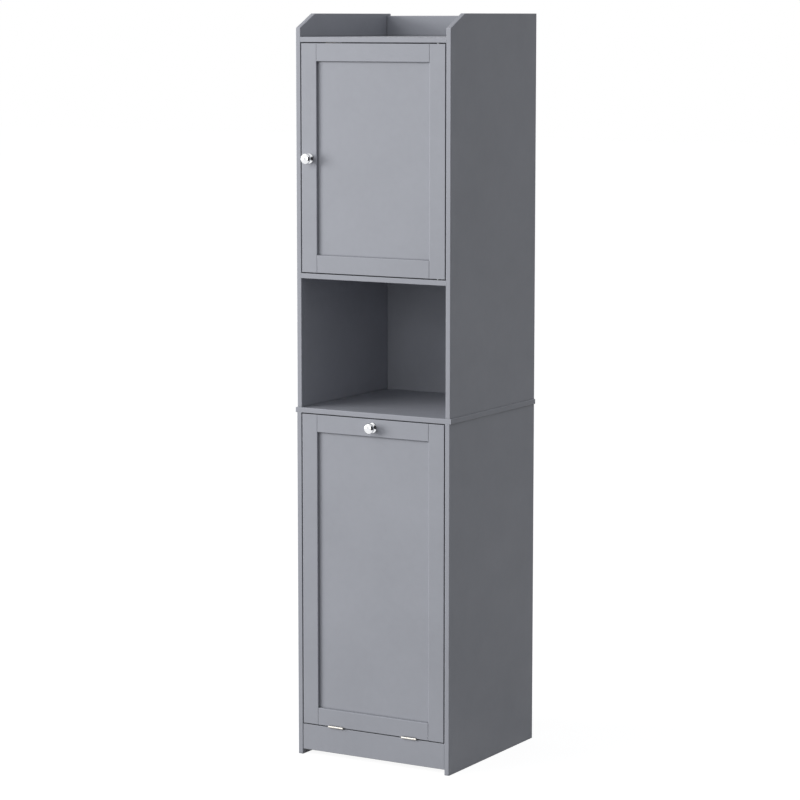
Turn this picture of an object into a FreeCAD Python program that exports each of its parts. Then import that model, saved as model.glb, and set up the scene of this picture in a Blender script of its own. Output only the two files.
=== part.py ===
import FreeCAD, Part

import math
import os

import Sketcher

# Tall bathroom cabinet: a lower carcass with a tilt-out hamper door, an open niche, and a door
# compartment with a gallery tray on top. Millimetres, +Z up, the fronts face -Y. The origin is on
# the floor, at the centre of the width, half way between the hamper knob's face and the rear edges.

DOC = FreeCAD.newDocument("tall_bathroom_cabinet")
SHEET = DOC.addObject("Spreadsheet::Sheet", "sizes")
SHEET_NAMES = []
SUB_PARTS = []


class Size:
    """A length or angle that carries both its sheet formula and its number."""

    def __init__(self, formula, value):
        self.formula = formula
        self.value = value

    def __add__(self, other):
        other = as_size(other)
        return Size(f"({self.formula} + {other.formula})", self.value + other.value)

    def __sub__(self, other):
        other = as_size(other)
        return Size(f"({self.formula} - {other.formula})", self.value - other.value)

    def __mul__(self, other):
        other = as_size(other)
        return Size(f"({self.formula} * {other.formula})", self.value * other.value)

    def __truediv__(self, other):
        other = as_size(other)
        return Size(f"({self.formula} / {other.formula})", self.value / other.value)

    def __neg__(self):
        return Size("0", 0.0) - self

    def __radd__(self, other):
        return as_size(other) + self

    def __rmul__(self, other):
        return as_size(other) * self


def as_size(number):
    if isinstance(number, Size):
        return number
    return Size(f"({float(number)})", float(number))


def sine(angle):
    return Size(f"sin({angle.formula} * 1deg)", math.sin(math.radians(angle.value)))


def cosine(angle):
    return Size(f"cos({angle.formula} * 1deg)", math.cos(math.radians(angle.value)))


def square_root(square):
    return Size(f"sqrt({square.formula})", math.sqrt(square.value))


def size(name, value, meaning):
    """Write one driving dimension into the sheet and return it."""
    SHEET_NAMES.append(name)
    row = len(SHEET_NAMES)
    SHEET.set(f"A{row}", meaning)
    SHEET.set(f"B{row}", str(value))
    SHEET.setAlias(f"B{row}", name)
    return Size(f"sizes.{name}", float(value))


# ---------------------------------------------------------------- driving dimensions

cabinet_width = size("cabinet_width", 400, "outside of the side panels")
cabinet_depth = size("cabinet_depth", 400, "lower front plane to rear edge")
cabinet_height = size("cabinet_height", 1700, "floor to the top of the side panels")
board = size("board", 12, "thickness of every board")
arris = size("arris", 1.5, "rounding of the boards' front edges")

foot_height = size("foot_height", 12, "floor to the plinth's lower edge")
plinth_height = size("plinth_height", 60, "plinth board")
plinth_recess = size("plinth_recess", 1, "plinth behind the lower front plane")
lower_door_height = size("lower_door_height", 722, "hamper door")
niche_height = size("niche_height", 295, "open niche")
gallery_height = size("gallery_height", 52, "side panels above the top board")
rail_drop = size("rail_drop", 5, "gallery rail below the side panels' tops")
rail_offset = size("rail_offset", 6, "gallery rail in front of the rear edges")
slope_depth = size("slope_depth", 64, "sloped front top corner, front to back")
slope_drop = size("slope_drop", 32, "sloped front top corner, height")
upper_setback = size("upper_setback", 2, "upper front plane behind the lower one")
side_overhang = size("side_overhang", 3, "middle board beyond the side panels")
front_overhang = size("front_overhang", 1, "middle board in front of the lower front plane")

back_thickness = size("back_thickness", 3, "back panels")
side_groove = size("side_groove", 4, "depth of the back panel grooves in the sides")
board_groove = size("board_groove", 3, "depth of the back panel grooves in the boards")
groove_play = size("groove_play", 0.1, "clearance each side of a panel in its groove")
panel_play = size("panel_play", 0.3, "clearance at the end of a panel or a housed board")
housing_depth = size("housing_depth", 4, "depth of the boards' housings in the sides")
housing_stop = size("housing_stop", 12, "housings stop behind the front edges")
wall_rail_height = size("wall_rail_height", 60, "wall fixing rail")
wall_hole_spacing = size("wall_hole_spacing", 240, "between the two wall screws")
wall_hole_radius = size("wall_hole_radius", 2.75, "wall screw holes")

tenon_thickness = size("tenon_thickness", 4, "loose tenons")
tenon_width = size("tenon_width", 60, "loose tenons through the middle board")
tenon_depth = size("tenon_depth", 20, "loose tenons in each side panel's edge")
tenon_inset = size("tenon_inset", 60, "loose tenons' centres from the front and the rear")
tenon_play = size("tenon_play", 0.1, "clearance round a loose tenon")
plinth_tenon_width = size("plinth_tenon_width", 36, "loose tenons at the plinth's ends")
plinth_tenon_depth = size("plinth_tenon_depth", 7, "plinth tenons in the side panels")
plinth_tenon_grip = size("plinth_tenon_grip", 15, "plinth tenons in the plinth's ends")

door_gap = size("door_gap", 2, "gap round both doors")
door_thickness = size("door_thickness", 16, "door frames")
frame_width = size("frame_width", 40, "stiles and rails")
door_arris = size("door_arris", 1.2, "rounding of the door frames' front edges")
panel_setback = size("panel_setback", 6.4, "door panel behind the frame's face")
panel_thickness = size("panel_thickness", 5, "door panels")
panel_groove = size("panel_groove", 8, "depth of the door panels' grooves")
panel_margin = size("panel_margin", 1, "door panel short of its groove's floor")

knob_reach = size("knob_reach", 21, "knob in front of the door")
knob_head_radius = size("knob_head_radius", 12.5, "knob's head")
knob_head = size("knob_head", 8, "thickness of the knob's head")
knob_neck_radius = size("knob_neck_radius", 7, "knob's neck")
knob_foot_radius = size("knob_foot_radius", 11.5, "knob's foot against the door")
knob_foot = size("knob_foot", 3, "thickness of the knob's foot")

shelf_rise = size("shelf_rise", 252, "adjustable shelf above the divider")
shelf_setback = size("shelf_setback", 34, "adjustable shelf behind the upper front plane")
shelf_play = size("shelf_play", 1, "adjustable shelf to each side panel")
shelf_peg_radius = size("shelf_peg_radius", 2.5, "shelf pegs")
shelf_peg_length = size("shelf_peg_length", 8, "shelf pegs in the side and under the shelf")
shelf_peg_inset = size("shelf_peg_inset", 50, "shelf pegs from the shelf's edges")
shelf_peg_play = size("shelf_peg_play", 0.05, "clearance round a shelf peg")

pivot_radius = size("pivot_radius", 3, "pivot pins of the upper door, in their bushes")
pivot_shoulder = size("pivot_shoulder", 4.5, "pivot pins' thick ends, in the boards")
pivot_depth = size("pivot_depth", 9, "pivot pins in the boards")
pivot_reach = size("pivot_reach", 12, "pivot pins in the door")
bush_radius = size("bush_radius", 4.5, "pivot bushes")
bush_length = size("bush_length", 14, "pivot bushes")
seat_play = size("seat_play", 0.05, "clearance round what is pressed in")
running_play = size("running_play", 0.05, "radial clearance of every turning fit")

hinge_spread = size("hinge_spread", 97, "butt hinges from the centre")
hinge_length = size("hinge_length", 39, "butt hinges")
hinge_forward = size("hinge_forward", 2.4, "hinge axis in front of the hamper door")
knuckle_radius = size("knuckle_radius", 2.2, "hinge knuckles")
knuckle_relief = size("knuckle_relief", 0.3, "room round a knuckle")
knuckle_play = size("knuckle_play", 0.15, "between two knuckles")
hinge_pin_radius = size("hinge_pin_radius", 1, "hinge pins")
leaf_thickness = size("leaf_thickness", 0.9, "hinge leaves")
leaf_depth = size("leaf_depth", 13.4, "hinge leaves behind the axis")

stay_height = size("stay_height", 258, "stay pivot above the hinge axis")
stay_reach = size("stay_reach", 10, "stay pivot behind the hamper door")
stay_angle = size("stay_angle", 18, "stay stud behind the pivot, seen from the hinge")
tilt_limit = size("tilt_limit", 40, "the hamper door's largest tilt")
arm_gap = size("arm_gap", 4.6, "stay arm to the side panel")
arm_thickness = size("arm_thickness", 1.6, "stay arm")
arm_width = size("arm_width", 16, "stay arm")
stay_play = size("stay_play", 0.4, "stay arm to its neighbours")
stay_slack = size("stay_slack", 6, "slot in front of the stud when the door is shut")
stay_sheet = size("stay_sheet", 1.5, "sheet of the stay brackets")
bracket_height = size("bracket_height", 28, "foot of a stay bracket")
bracket_width = size("bracket_width", 22, "foot of a stay bracket")
ear_height = size("ear_height", 14, "ear of a stay bracket")
rivet_radius = size("rivet_radius", 2.45, "stay rivet")
rivet_head_radius = size("rivet_head_radius", 4, "stay rivet's head")
rivet_head = size("rivet_head", 1.2, "thickness of the rivet's head")
stud_radius = size("stud_radius", 2.9, "stay stud")
stud_depth = size("stud_depth", 9.5, "stay stud in the side panel")
stud_head_radius = size("stud_head_radius", 6, "stay stud's head")
slot_play = size("slot_play", 0.2, "stay stud to the slot's edge")

catch_length = size("catch_length", 44, "magnetic catch")
catch_height = size("catch_height", 11, "magnetic catch")
catch_depth = size("catch_depth", 13, "magnetic catch")
pole_length = size("pole_length", 28, "steel poles of a catch")
pole_depth = size("pole_depth", 8, "steel poles of a catch, front to back")
pole_thickness = size("pole_thickness", 1.5, "steel poles of a catch")
pole_reach = size("pole_reach", 0.6, "poles in front of the catch")
strike_length = size("strike_length", 36, "strike plate")
strike_thickness = size("strike_thickness", 0.8, "strike plate")
catch_play = size("catch_play", 0.3, "poles to the strike plate when the door is shut")
hamper_catch_place = size("hamper_catch_place", 90, "hamper door's catch from the centre")
upper_catch_place = size("upper_catch_place", -110, "upper door's catch from the centre")

frame_below_top = size("frame_below_top", 99, "bag frame's ring below the hamper door's top")
frame_margin = size("frame_margin", 26, "bag frame's ring inside the hamper door's edges")
frame_reach = size("frame_reach", 268, "bag frame's ring behind the door")
frame_front = size("frame_front", 12, "bag frame's front bar behind the door")
frame_drop = size("frame_drop", 130, "bag frame's legs below its ring")
frame_corner = size("frame_corner", 30, "bag frame's corners")
bar_height = size("bar_height", 15, "bag frame's flat bar")
bar_thickness = size("bar_thickness", 2.5, "bag frame's flat bar")
leg_width = size("leg_width", 14, "bag frame's legs on the stiles")
brace_back = size("brace_back", 170, "where the braces meet the ring")

bag_play = size("bag_play", 0.5, "laundry bag inside the ring")
bag_clearance = size("bag_clearance", 23, "laundry bag above the hamper door's lower edge")
bag_wall = size("bag_wall", 2.5, "laundry bag's cloth, hems included")
loop_width = size("loop_width", 40, "laundry bag's loops")
loop_cloth = size("loop_cloth", 1.5, "thickness of a loop")
loop_gap = size("loop_gap", 0.3, "between a loop and the bar")
loop_hem = size("loop_hem", 16, "where a loop is sewn on, below the ring's lower edge")
loop_end = size("loop_end", 6, "loop's free end below the ring's lower edge")

DOC.recompute()

# ---------------------------------------------------------------- places worked out from them

inside = cabinet_width / 2 - board
front = -(cabinet_depth - knob_reach) / 2
rear = front + cabinet_depth
upper_front = front + upper_setback
back_front = rear - board - back_thickness
groove_front = back_front - groove_play
groove_rear = back_front + back_thickness + groove_play
back_reach = inside + side_groove - panel_play
housed_reach = inside + housing_depth - panel_play

plinth_top = foot_height + plinth_height
lower_door_low = plinth_top + door_gap
lower_top = lower_door_low + lower_door_height + door_gap
niche_floor = lower_top + board
divider_low = niche_floor + niche_height
divider_top = divider_low + board
top_board_top = cabinet_height - gallery_height
top_board_low = top_board_top - board
upper_door_low = divider_top + door_gap
upper_door_height = top_board_low - door_gap - upper_door_low
shelf_low = divider_top + shelf_rise
wall_rail_low = top_board_low - wall_rail_height
gallery_rail_front = rear - rail_offset - board
gallery_rail_height = gallery_height - rail_drop

door_half = inside - door_gap
door_inner = door_half - frame_width
panel_back = panel_setback + panel_thickness
lower_door_rear = front + door_thickness
pivot_x = door_half - frame_width / 2
pivot_y = upper_front + door_thickness / 2

hinge_y = front - hinge_forward
hinge_z = lower_door_low
ring_z = lower_door_low + lower_door_height - frame_below_top
frame_spread = door_half - frame_margin
bag_height = ring_z - lower_door_low - bag_clearance

# The stay's pivot on the door and its stud on the side panel lie at one distance from the hinge
# axis, so the arm turns by exactly half the door's tilt.
pivot_back = hinge_forward + door_thickness + stay_reach
stay_circle = square_root(pivot_back * pivot_back + stay_height * stay_height)
stud_back = pivot_back * cosine(stay_angle) + stay_height * sine(stay_angle)
stud_rise = stay_height * cosine(stay_angle) - pivot_back * sine(stay_angle)
slot_start = 2 * stay_circle * sine(stay_angle / 2)
slot_end = 2 * stay_circle * sine((stay_angle + tilt_limit) / 2)
arm_outer = inside - arm_gap
arm_inner = arm_outer - arm_thickness
ear_outer = arm_inner - stay_play

LEFT = -1
RIGHT = 1
SIDES = ((LEFT, "left"), (RIGHT, "right"))


# ---------------------------------------------------------------- building blocks


def vector(across, up, out=0):
    return FreeCAD.Vector(as_size(across).value, as_size(up).value, as_size(out).value)


def bind(thing, name, value):
    """Tie one property of an object to the sheet."""
    thing.setExpression(name, as_size(value).formula)


def place(thing, x, y, z):
    for axis, distance in (("x", x), ("y", y), ("z", z)):
        bind(thing, f"Placement.Base.{axis}", distance)


def pin_point(sketch, element, point, across, up):
    """Hold one point of a sketch at its distances from the sketch's origin."""
    for kind, distance in (("DistanceX", as_size(across)), ("DistanceY", as_size(up))):
        held = Sketcher.Constraint(kind, -1, 1, element, point, distance.value)
        index = sketch.addConstraint(held)
        sketch.setExpression(f"Constraints[{index}]", distance.formula)


def hold_radius(sketch, element, radius):
    index = sketch.addConstraint(Sketcher.Constraint("Radius", element, as_size(radius).value))
    sketch.setExpression(f"Constraints[{index}]", as_size(radius).formula)


def outline(sketch, corners):
    """Close a straight-sided outline through its corners."""
    first = sketch.GeometryCount
    for start, end in zip(corners, corners[1:] + corners[:1]):
        sketch.addGeometry(Part.LineSegment(vector(*start), vector(*end)), False)
    for step, corner in enumerate(corners):
        following = first + (step + 1) % len(corners)
        sketch.addConstraint(Sketcher.Constraint("Coincident", first + step, 2, following, 1))
        pin_point(sketch, first + step, 1, *corner)


def rectangle(sketch, left, low, right, high):
    outline(sketch, [(left, low), (right, low), (right, high), (left, high)])


def circle(sketch, across, up, radius):
    ring = Part.Circle(vector(across, up), FreeCAD.Vector(0, 0, 1), as_size(radius).value)
    element = sketch.addGeometry(ring, False)
    pin_point(sketch, element, 3, across, up)
    hold_radius(sketch, element, radius)


def rounded_outline(sketch, centres, radius, sweep):
    """Close an outline of equal arcs, anticlockwise round their centres, and tangent lines."""
    first = sketch.GeometryCount
    count = len(centres)
    for step, centre in enumerate(centres):
        ring = Part.Circle(vector(*centre), FreeCAD.Vector(0, 0, 1), radius.value)
        start = math.pi * 1.5 - sweep + step * sweep
        sketch.addGeometry(Part.ArcOfCircle(ring, start, start + sweep), False)
    for step in range(count):
        leaving = sketch.Geometry[first + step].EndPoint
        arriving = sketch.Geometry[first + (step + 1) % count].StartPoint
        sketch.addGeometry(Part.LineSegment(leaving, arriving), False)
    for step, centre in enumerate(centres):
        arc = first + step
        line = first + count + step
        next_arc = first + (step + 1) % count
        sketch.addConstraint(Sketcher.Constraint("Tangent", arc, 2, line, 1))
        sketch.addConstraint(Sketcher.Constraint("Tangent", line, 2, next_arc, 1))
        pin_point(sketch, arc, 3, *centre)
        hold_radius(sketch, arc, radius)


def rounded_rectangle(sketch, left, low, right, high, radius):
    centres = [
        (left + radius, low + radius),
        (right - radius, low + radius),
        (right - radius, high - radius),
        (left + radius, high - radius),
    ]
    rounded_outline(sketch, centres, radius, math.pi / 2)


def round_ended_bar(sketch, start, end, radius):
    """A bar along the sketch's first axis, between the centres of its two round ends."""
    rounded_outline(sketch, [(start, 0), (end, 0)], radius, math.pi)


class Piece:
    """One piece made from sketches on its own origin planes."""

    def __init__(self, label, x, y, z):
        self.label = label
        self.body = DOC.addObject("PartDesign::Body", label)
        self.body.Label = label
        place(self.body, x, y, z)
        SUB_PARTS.append(self.body)

    def sketch(self, name, role, offset=0):
        sketch = self.body.newObject("Sketcher::SketchObject", f"{self.label}_{name}_sketch")
        planes = [item for item in self.body.Origin.OriginFeatures if item.Role == role]
        sketch.AttachmentSupport = [(planes[0], "")]
        sketch.MapMode = "FlatFace"
        bind(sketch, "AttachmentOffset.Base.z", offset)
        return sketch

    def feature(self, kind, name):
        return self.body.newObject(f"PartDesign::{kind}", f"{self.label}_{name}")

    def pad(self, name, sketch, length, toward=1):
        """Add material along the sketch's normal, against it (-1), or half each way (0)."""
        pad = self.feature("Pad", name)
        pad.Profile = sketch
        bind(pad, "Length", length)
        pad.Midplane = toward == 0
        pad.Reversed = toward < 0

    def pocket(self, name, sketch, length, toward=1):
        """Take material away along the sketch's normal, against it (-1), or half each way (0)."""
        pocket = self.feature("Pocket", name)
        pocket.Profile = sketch
        bind(pocket, "Length", length)
        pocket.Midplane = toward == 0
        pocket.Reversed = toward > 0

    def slab(self, name, role, corners, thickness, toward=1, offset=0):
        """Add a flat piece over a rectangle: left, low, right, high."""
        sketch = self.sketch(name, role, offset)
        rectangle(sketch, *corners)
        self.pad(name, sketch, thickness, toward)

    def recess(self, name, role, corners, depth, toward=1, offset=0):
        """Cut a flat-bottomed recess over a rectangle: left, low, right, high."""
        sketch = self.sketch(name, role, offset)
        rectangle(sketch, *corners)
        self.pocket(name, sketch, depth, toward)

    def boss(self, name, role, centre, radius, length, toward=1, offset=0):
        sketch = self.sketch(name, role, offset)
        circle(sketch, *centre, radius)
        self.pad(name, sketch, length, toward)

    def bore(self, name, role, centres, radius, depth, toward=1, offset=0):
        sketch = self.sketch(name, role, offset)
        for centre in centres:
            circle(sketch, *centre, radius)
        self.pocket(name, sketch, depth, toward)

    def turn(self, name, corners):
        """Turn a straight-sided profile right round the vertical axis of the XY plane."""
        profile = self.sketch(name, "XY_Plane")
        outline(profile, corners)
        turned = self.feature("Revolution", name)
        turned.Profile = profile
        turned.ReferenceAxis = (profile, ["V_Axis"])
        turned.Angle = 360

    def round_edges(self, name, radius, wanted):
        """Round the long straight edges whose two ends both pass the test."""
        DOC.recompute()
        tip = self.body.Tip
        names = []
        for number, edge in enumerate(tip.Shape.Edges, start=1):
            ends = [vertex.Point for vertex in edge.Vertexes]
            long_enough = isinstance(edge.Curve, Part.Line) and edge.Length > 2 * board.value
            if long_enough and all(wanted(end) for end in ends):
                names.append(f"Edge{number}")
        fillet = self.feature("Fillet", name)
        fillet.Base = (tip, names)
        bind(fillet, "Radius", radius)


def near(one, other):
    return abs(one - as_size(other).value) < 0.001


def at_front(point):
    return near(point.y, 0)


TURNS = {
    "+x": FreeCAD.Rotation(FreeCAD.Vector(0, 1, 0), 90),
    "-x": FreeCAD.Rotation(FreeCAD.Vector(0, 1, 0), -90),
    "+z": FreeCAD.Rotation(),
    "-z": FreeCAD.Rotation(FreeCAD.Vector(1, 0, 0), 180),
}


def sideways(side):
    return "+x" if side > 0 else "-x"


def rod(name, radius, length, x, y, z, toward):
    """A cylinder that starts at a point and runs along an axis."""
    cylinder = DOC.addObject("Part::Cylinder", name)
    bind(cylinder, "Radius", radius)
    bind(cylinder, "Height", length)
    cylinder.Placement = FreeCAD.Placement(FreeCAD.Vector(), TURNS[toward])
    place(cylinder, x, y, z)
    return cylinder


def block(name, low, high):
    box = DOC.addObject("Part::Box", name)
    for side, start, end in zip(("Length", "Width", "Height"), low, high):
        bind(box, side, as_size(end) - start)
    place(box, *low)
    return box


def fuse(name, pieces):
    joined = DOC.addObject("Part::MultiFuse", name)
    joined.Shapes = pieces
    return joined


def cut(name, base, tools):
    result = DOC.addObject("Part::Cut", name)
    result.Base = base
    result.Tool = tools[0] if len(tools) == 1 else fuse(f"{name}_tools", tools)
    return result


def sub_part(label, thing):
    thing.Label = label
    SUB_PARTS.append(thing)


def group(label, pieces):
    """Several like pieces, kept as separate solids under one name."""
    compound = DOC.addObject("Part::Compound", label)
    compound.Links = pieces
    sub_part(label, compound)


# ---------------------------------------------------------------- lower carcass

tenon_places = (front + tenon_inset, rear - tenon_inset)
plinth_middle = front + plinth_recess + board / 2
plinth_tenon_low = foot_height + (plinth_height - board - plinth_tenon_width) / 2
bottom_front = front + plinth_recess + board
bottom_low = plinth_top - board


def mortises(piece, name, x, depth, toward, offset):
    """Two slots for the loose tenons that pass through the middle board."""
    slots = piece.sketch(name, "XY_Plane", offset)
    across = tenon_thickness / 2 + tenon_play
    along = tenon_width / 2 + tenon_play
    for y in tenon_places:
        rectangle(slots, x - across, y - along, x + across, y + along)
    piece.pocket(name, slots, depth, toward)


def lower_side(side, word):
    panel = Piece(f"lower_side_{word}", side * inside, 0, 0)
    panel.slab("board", "YZ_Plane", (front, 0, rear, lower_top), board, side)
    groove = (groove_front, bottom_low, groove_rear, lower_top)
    panel.recess("back_groove", "YZ_Plane", groove, side_groove, side)
    housing = (bottom_front, bottom_low, groove_front, plinth_top)
    panel.recess("bottom_housing", "YZ_Plane", housing, housing_depth, side)
    half = tenon_thickness / 2 + tenon_play
    low = plinth_tenon_low - tenon_play
    high = plinth_tenon_low + plinth_tenon_width + tenon_play
    slot = (plinth_middle - half, low, plinth_middle + half, high)
    panel.recess("plinth_mortise", "YZ_Plane", slot, plinth_tenon_depth + tenon_play, side)
    stud = (hinge_y + stud_back, hinge_z + stud_rise)
    panel.bore("stud_hole", "YZ_Plane", [stud], stud_radius + seat_play, stud_depth + seat_play, side)
    mortises(panel, "top_mortises", side * board / 2, tenon_depth + tenon_play, -1, lower_top)
    panel.round_edges("arris", arris, lambda point: near(point.y, front))


def plinth_board():
    plinth = Piece("plinth_board", 0, front + plinth_recess, foot_height)
    plinth.slab("board", "XY_Plane", (-inside, 0, inside, board), plinth_height)
    half = tenon_thickness / 2 + tenon_play
    low = plinth_tenon_low - foot_height - tenon_play
    high = low + plinth_tenon_width + 2 * tenon_play
    slot = (board / 2 - half, low, board / 2 + half, high)
    for side, word in SIDES:
        depth = plinth_tenon_grip + tenon_play
        plinth.recess(f"mortise_{word}", "YZ_Plane", slot, depth, -side, side * inside)
    plinth.round_edges("arris", arris, at_front)


def bottom_panel():
    panel = Piece("bottom_panel", 0, bottom_front, bottom_low)
    corners = (-housed_reach, 0, housed_reach, back_front - bottom_front)
    panel.slab("board", "XY_Plane", corners, board)


def lower_back_panel():
    panel = Piece("lower_back_panel", 0, back_front, bottom_low)
    height = lower_top + board_groove - panel_play - bottom_low
    panel.slab("board", "XY_Plane", (-back_reach, 0, back_reach, back_thickness), height)


def middle_board():
    middle = Piece("middle_board", 0, 0, lower_top)
    reach = cabinet_width / 2 + side_overhang
    front_edge = front - front_overhang
    middle.slab("board", "XY_Plane", (-reach, front_edge, reach, rear), board)
    groove = (-inside - side_groove, groove_front, inside + side_groove, groove_rear)
    middle.recess("lower_groove", "XY_Plane", groove, board_groove)
    middle.recess("upper_groove", "XY_Plane", groove, board_groove, -1, board)
    for side, word in SIDES:
        mortises(middle, f"mortises_{word}", side * (inside + board / 2), board, 1, 0)

    def outer(point):
        return near(point.y, front_edge) or near(abs(point.x), reach)

    middle.round_edges("arris", arris, outer)


def loose_tenons():
    """Flat tenons: four through the middle board, one at each end of the plinth."""
    tenons = []
    half = tenon_thickness / 2
    for side, word in SIDES:
        x = side * (inside + board / 2)
        for number, y in enumerate(tenon_places, start=1):
            low = (x - half, y - tenon_width / 2, lower_top - tenon_depth)
            high = (x + half, y + tenon_width / 2, niche_floor + tenon_depth)
            tenons.append(block(f"through_tenon_{word}_{number}", low, high))
        ends = (side * (inside - plinth_tenon_grip), side * (inside + plinth_tenon_depth))
        left, right = ends if side > 0 else (ends[1], ends[0])
        low = (left, plinth_middle - half, plinth_tenon_low)
        high = (right, plinth_middle + half, plinth_tenon_low + plinth_tenon_width)
        tenons.append(block(f"plinth_tenon_{word}", low, high))
    group("loose_tenons", tenons)


# ---------------------------------------------------------------- upper carcass

shelf_front = upper_front + shelf_setback
shelf_rear = back_front - shelf_play
peg_places = (shelf_front + shelf_peg_inset, shelf_rear - shelf_peg_inset)
peg_height = shelf_low - shelf_peg_radius
housing_front = upper_front + housing_stop


def upper_side(side, word):
    panel = Piece(f"upper_side_{word}", side * inside, 0, niche_floor)
    top = cabinet_height - niche_floor
    face = panel.sketch("board", "YZ_Plane")
    corners = [
        (upper_front, 0),
        (rear, 0),
        (rear, top),
        (upper_front + slope_depth, top),
        (upper_front, top - slope_drop),
    ]
    outline(face, corners)
    panel.pad("board", face, board, side)

    def housing(name, front_edge, low, rear_edge, high):
        corners = (front_edge, low - niche_floor, rear_edge, high - niche_floor)
        panel.recess(name, "YZ_Plane", corners, housing_depth, side)

    housing("divider_housing", housing_front, divider_low, groove_front, divider_top)
    housing("top_housing", housing_front, top_board_low, rear, top_board_top)
    housing("wall_rail_housing", rear - board, wall_rail_low, rear, top_board_low)
    gallery_top = top_board_top + gallery_rail_height
    gallery_rear = gallery_rail_front + board
    housing("gallery_housing", gallery_rail_front, top_board_top, gallery_rear, gallery_top)
    groove = (groove_front, 0, groove_rear, top_board_low + board_groove - niche_floor)
    panel.recess("back_groove", "YZ_Plane", groove, side_groove, side)
    pegs = [(y, peg_height - niche_floor) for y in peg_places]
    peg_depth = shelf_peg_length + shelf_peg_play
    panel.bore("shelf_pegs", "YZ_Plane", pegs, shelf_peg_radius + shelf_peg_play, peg_depth, side)
    mortises(panel, "foot_mortises", side * board / 2, tenon_depth + tenon_play, 1, 0)

    def outer(point):
        return near(point.y, upper_front) or near(point.z, top)

    panel.round_edges("arris", arris, outer)


def housed_board(label, low, back_edge):
    """A board between the upper sides: its front corners stop short of the housings."""
    piece = Piece(label, 0, 0, low)
    face = piece.sketch("board", "XY_Plane")
    notch = housing_front + panel_play
    corners = [
        (-inside, upper_front),
        (inside, upper_front),
        (inside, notch),
        (housed_reach, notch),
        (housed_reach, back_edge),
        (-housed_reach, back_edge),
        (-housed_reach, notch),
        (-inside, notch),
    ]
    outline(face, corners)
    piece.pad("board", face, board)
    return piece


def divider_shelf():
    shelf = housed_board("divider_shelf", divider_low, back_front)
    radius = pivot_shoulder + seat_play
    shelf.bore("pivot", "XY_Plane", [(pivot_x, pivot_y)], radius, pivot_depth + seat_play, -1, board)
    shelf.round_edges("arris", arris, lambda point: near(point.y, upper_front))


def top_board():
    top = housed_board("top_board", top_board_low, rear)
    groove = (-housed_reach, groove_front, housed_reach, groove_rear)
    top.recess("back_groove", "XY_Plane", groove, board_groove)
    radius = pivot_shoulder + seat_play
    top.bore("pivot", "XY_Plane", [(pivot_x, pivot_y)], radius, pivot_depth + seat_play)
    top.round_edges("arris", arris, lambda point: near(point.y, upper_front))


def gallery_rail():
    rail = Piece("gallery_rail", 0, gallery_rail_front, top_board_top)
    rail.slab("board", "XY_Plane", (-housed_reach, 0, housed_reach, board), gallery_rail_height)
    rail.round_edges("arris", arris, lambda point: near(point.z, gallery_rail_height))


def wall_holes(height):
    return [(side * wall_hole_spacing / 2, height) for side, _ in SIDES]


def wall_fixing_rail():
    rail = Piece("wall_fixing_rail", 0, rear - board, wall_rail_low)
    rail.slab("board", "XY_Plane", (-housed_reach, 0, housed_reach, board), wall_rail_height)
    holes = wall_holes(wall_rail_height / 2)
    rail.bore("wall_holes", "XZ_Plane", holes, wall_hole_radius, board, -1)


def upper_back_panel():
    low = niche_floor - board_groove + panel_play
    panel = Piece("upper_back_panel", 0, back_front, low)
    height = top_board_low + board_groove - panel_play - low
    panel.slab("board", "XY_Plane", (-back_reach, 0, back_reach, back_thickness), height)
    holes = wall_holes(wall_rail_low + wall_rail_height / 2 - low)
    panel.bore("wall_holes", "XZ_Plane", holes, wall_hole_radius, back_thickness, -1)


def adjustable_shelf():
    shelf = Piece("adjustable_shelf", 0, shelf_front, shelf_low)
    reach = inside - shelf_play
    shelf.slab("board", "XY_Plane", (-reach, 0, reach, shelf_rear - shelf_front), board)
    shelf.round_edges("arris", arris, at_front)


def shelf_pegs():
    pegs = []
    for side, word in SIDES:
        for number, y in enumerate(peg_places, start=1):
            start = side * (inside + shelf_peg_length)
            length = 2 * shelf_peg_length
            name = f"shelf_peg_{word}_{number}"
            pegs.append(rod(name, shelf_peg_radius, length, start, y, peg_height, sideways(-side)))
    group("shelf_pegs", pegs)


# ---------------------------------------------------------------- doors

panel_near = panel_setback - groove_play
panel_far = panel_back + groove_play


def stile(label, side, plane, low, height):
    """An upright of a door frame. Its own frame starts at its inner edge, on the door's face."""
    upright = Piece(label, side * door_inner, plane, low)
    upright.slab("bar", "XY_Plane", (0, 0, side * frame_width, door_thickness), height)
    groove = (0, panel_near, side * panel_groove, panel_far)
    upright.recess("groove", "XY_Plane", groove, height)
    return upright


def rail(label, plane, low, groove_on_top):
    """A cross bar of a door frame, with a tongue at each end that fits the stiles' grooves."""
    bar = Piece(label, 0, plane, low)
    bar.slab("bar", "XY_Plane", (-door_inner, 0, door_inner, door_thickness), frame_width)
    tongue_low = 0 if groove_on_top else panel_groove
    reach = door_inner + panel_groove - panel_margin
    tongue = (-reach, panel_setback, reach, panel_back)
    bar.slab("tongue", "XY_Plane", tongue, frame_width - panel_groove, 1, tongue_low)
    groove = (-door_inner, panel_near, door_inner, panel_far)
    level = frame_width if groove_on_top else 0
    bar.recess("groove", "XY_Plane", groove, panel_groove, -1 if groove_on_top else 1, level)
    bar.round_edges("arris", door_arris, at_front)


def door_panel(label, plane, low, height):
    hold = panel_groove - panel_margin
    panel = Piece(label, 0, plane + panel_setback, low + frame_width - hold)
    reach = door_inner + hold
    seen_height = height - 2 * frame_width
    panel.slab("board", "XY_Plane", (-reach, 0, reach, panel_thickness), seen_height + 2 * hold)


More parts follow.
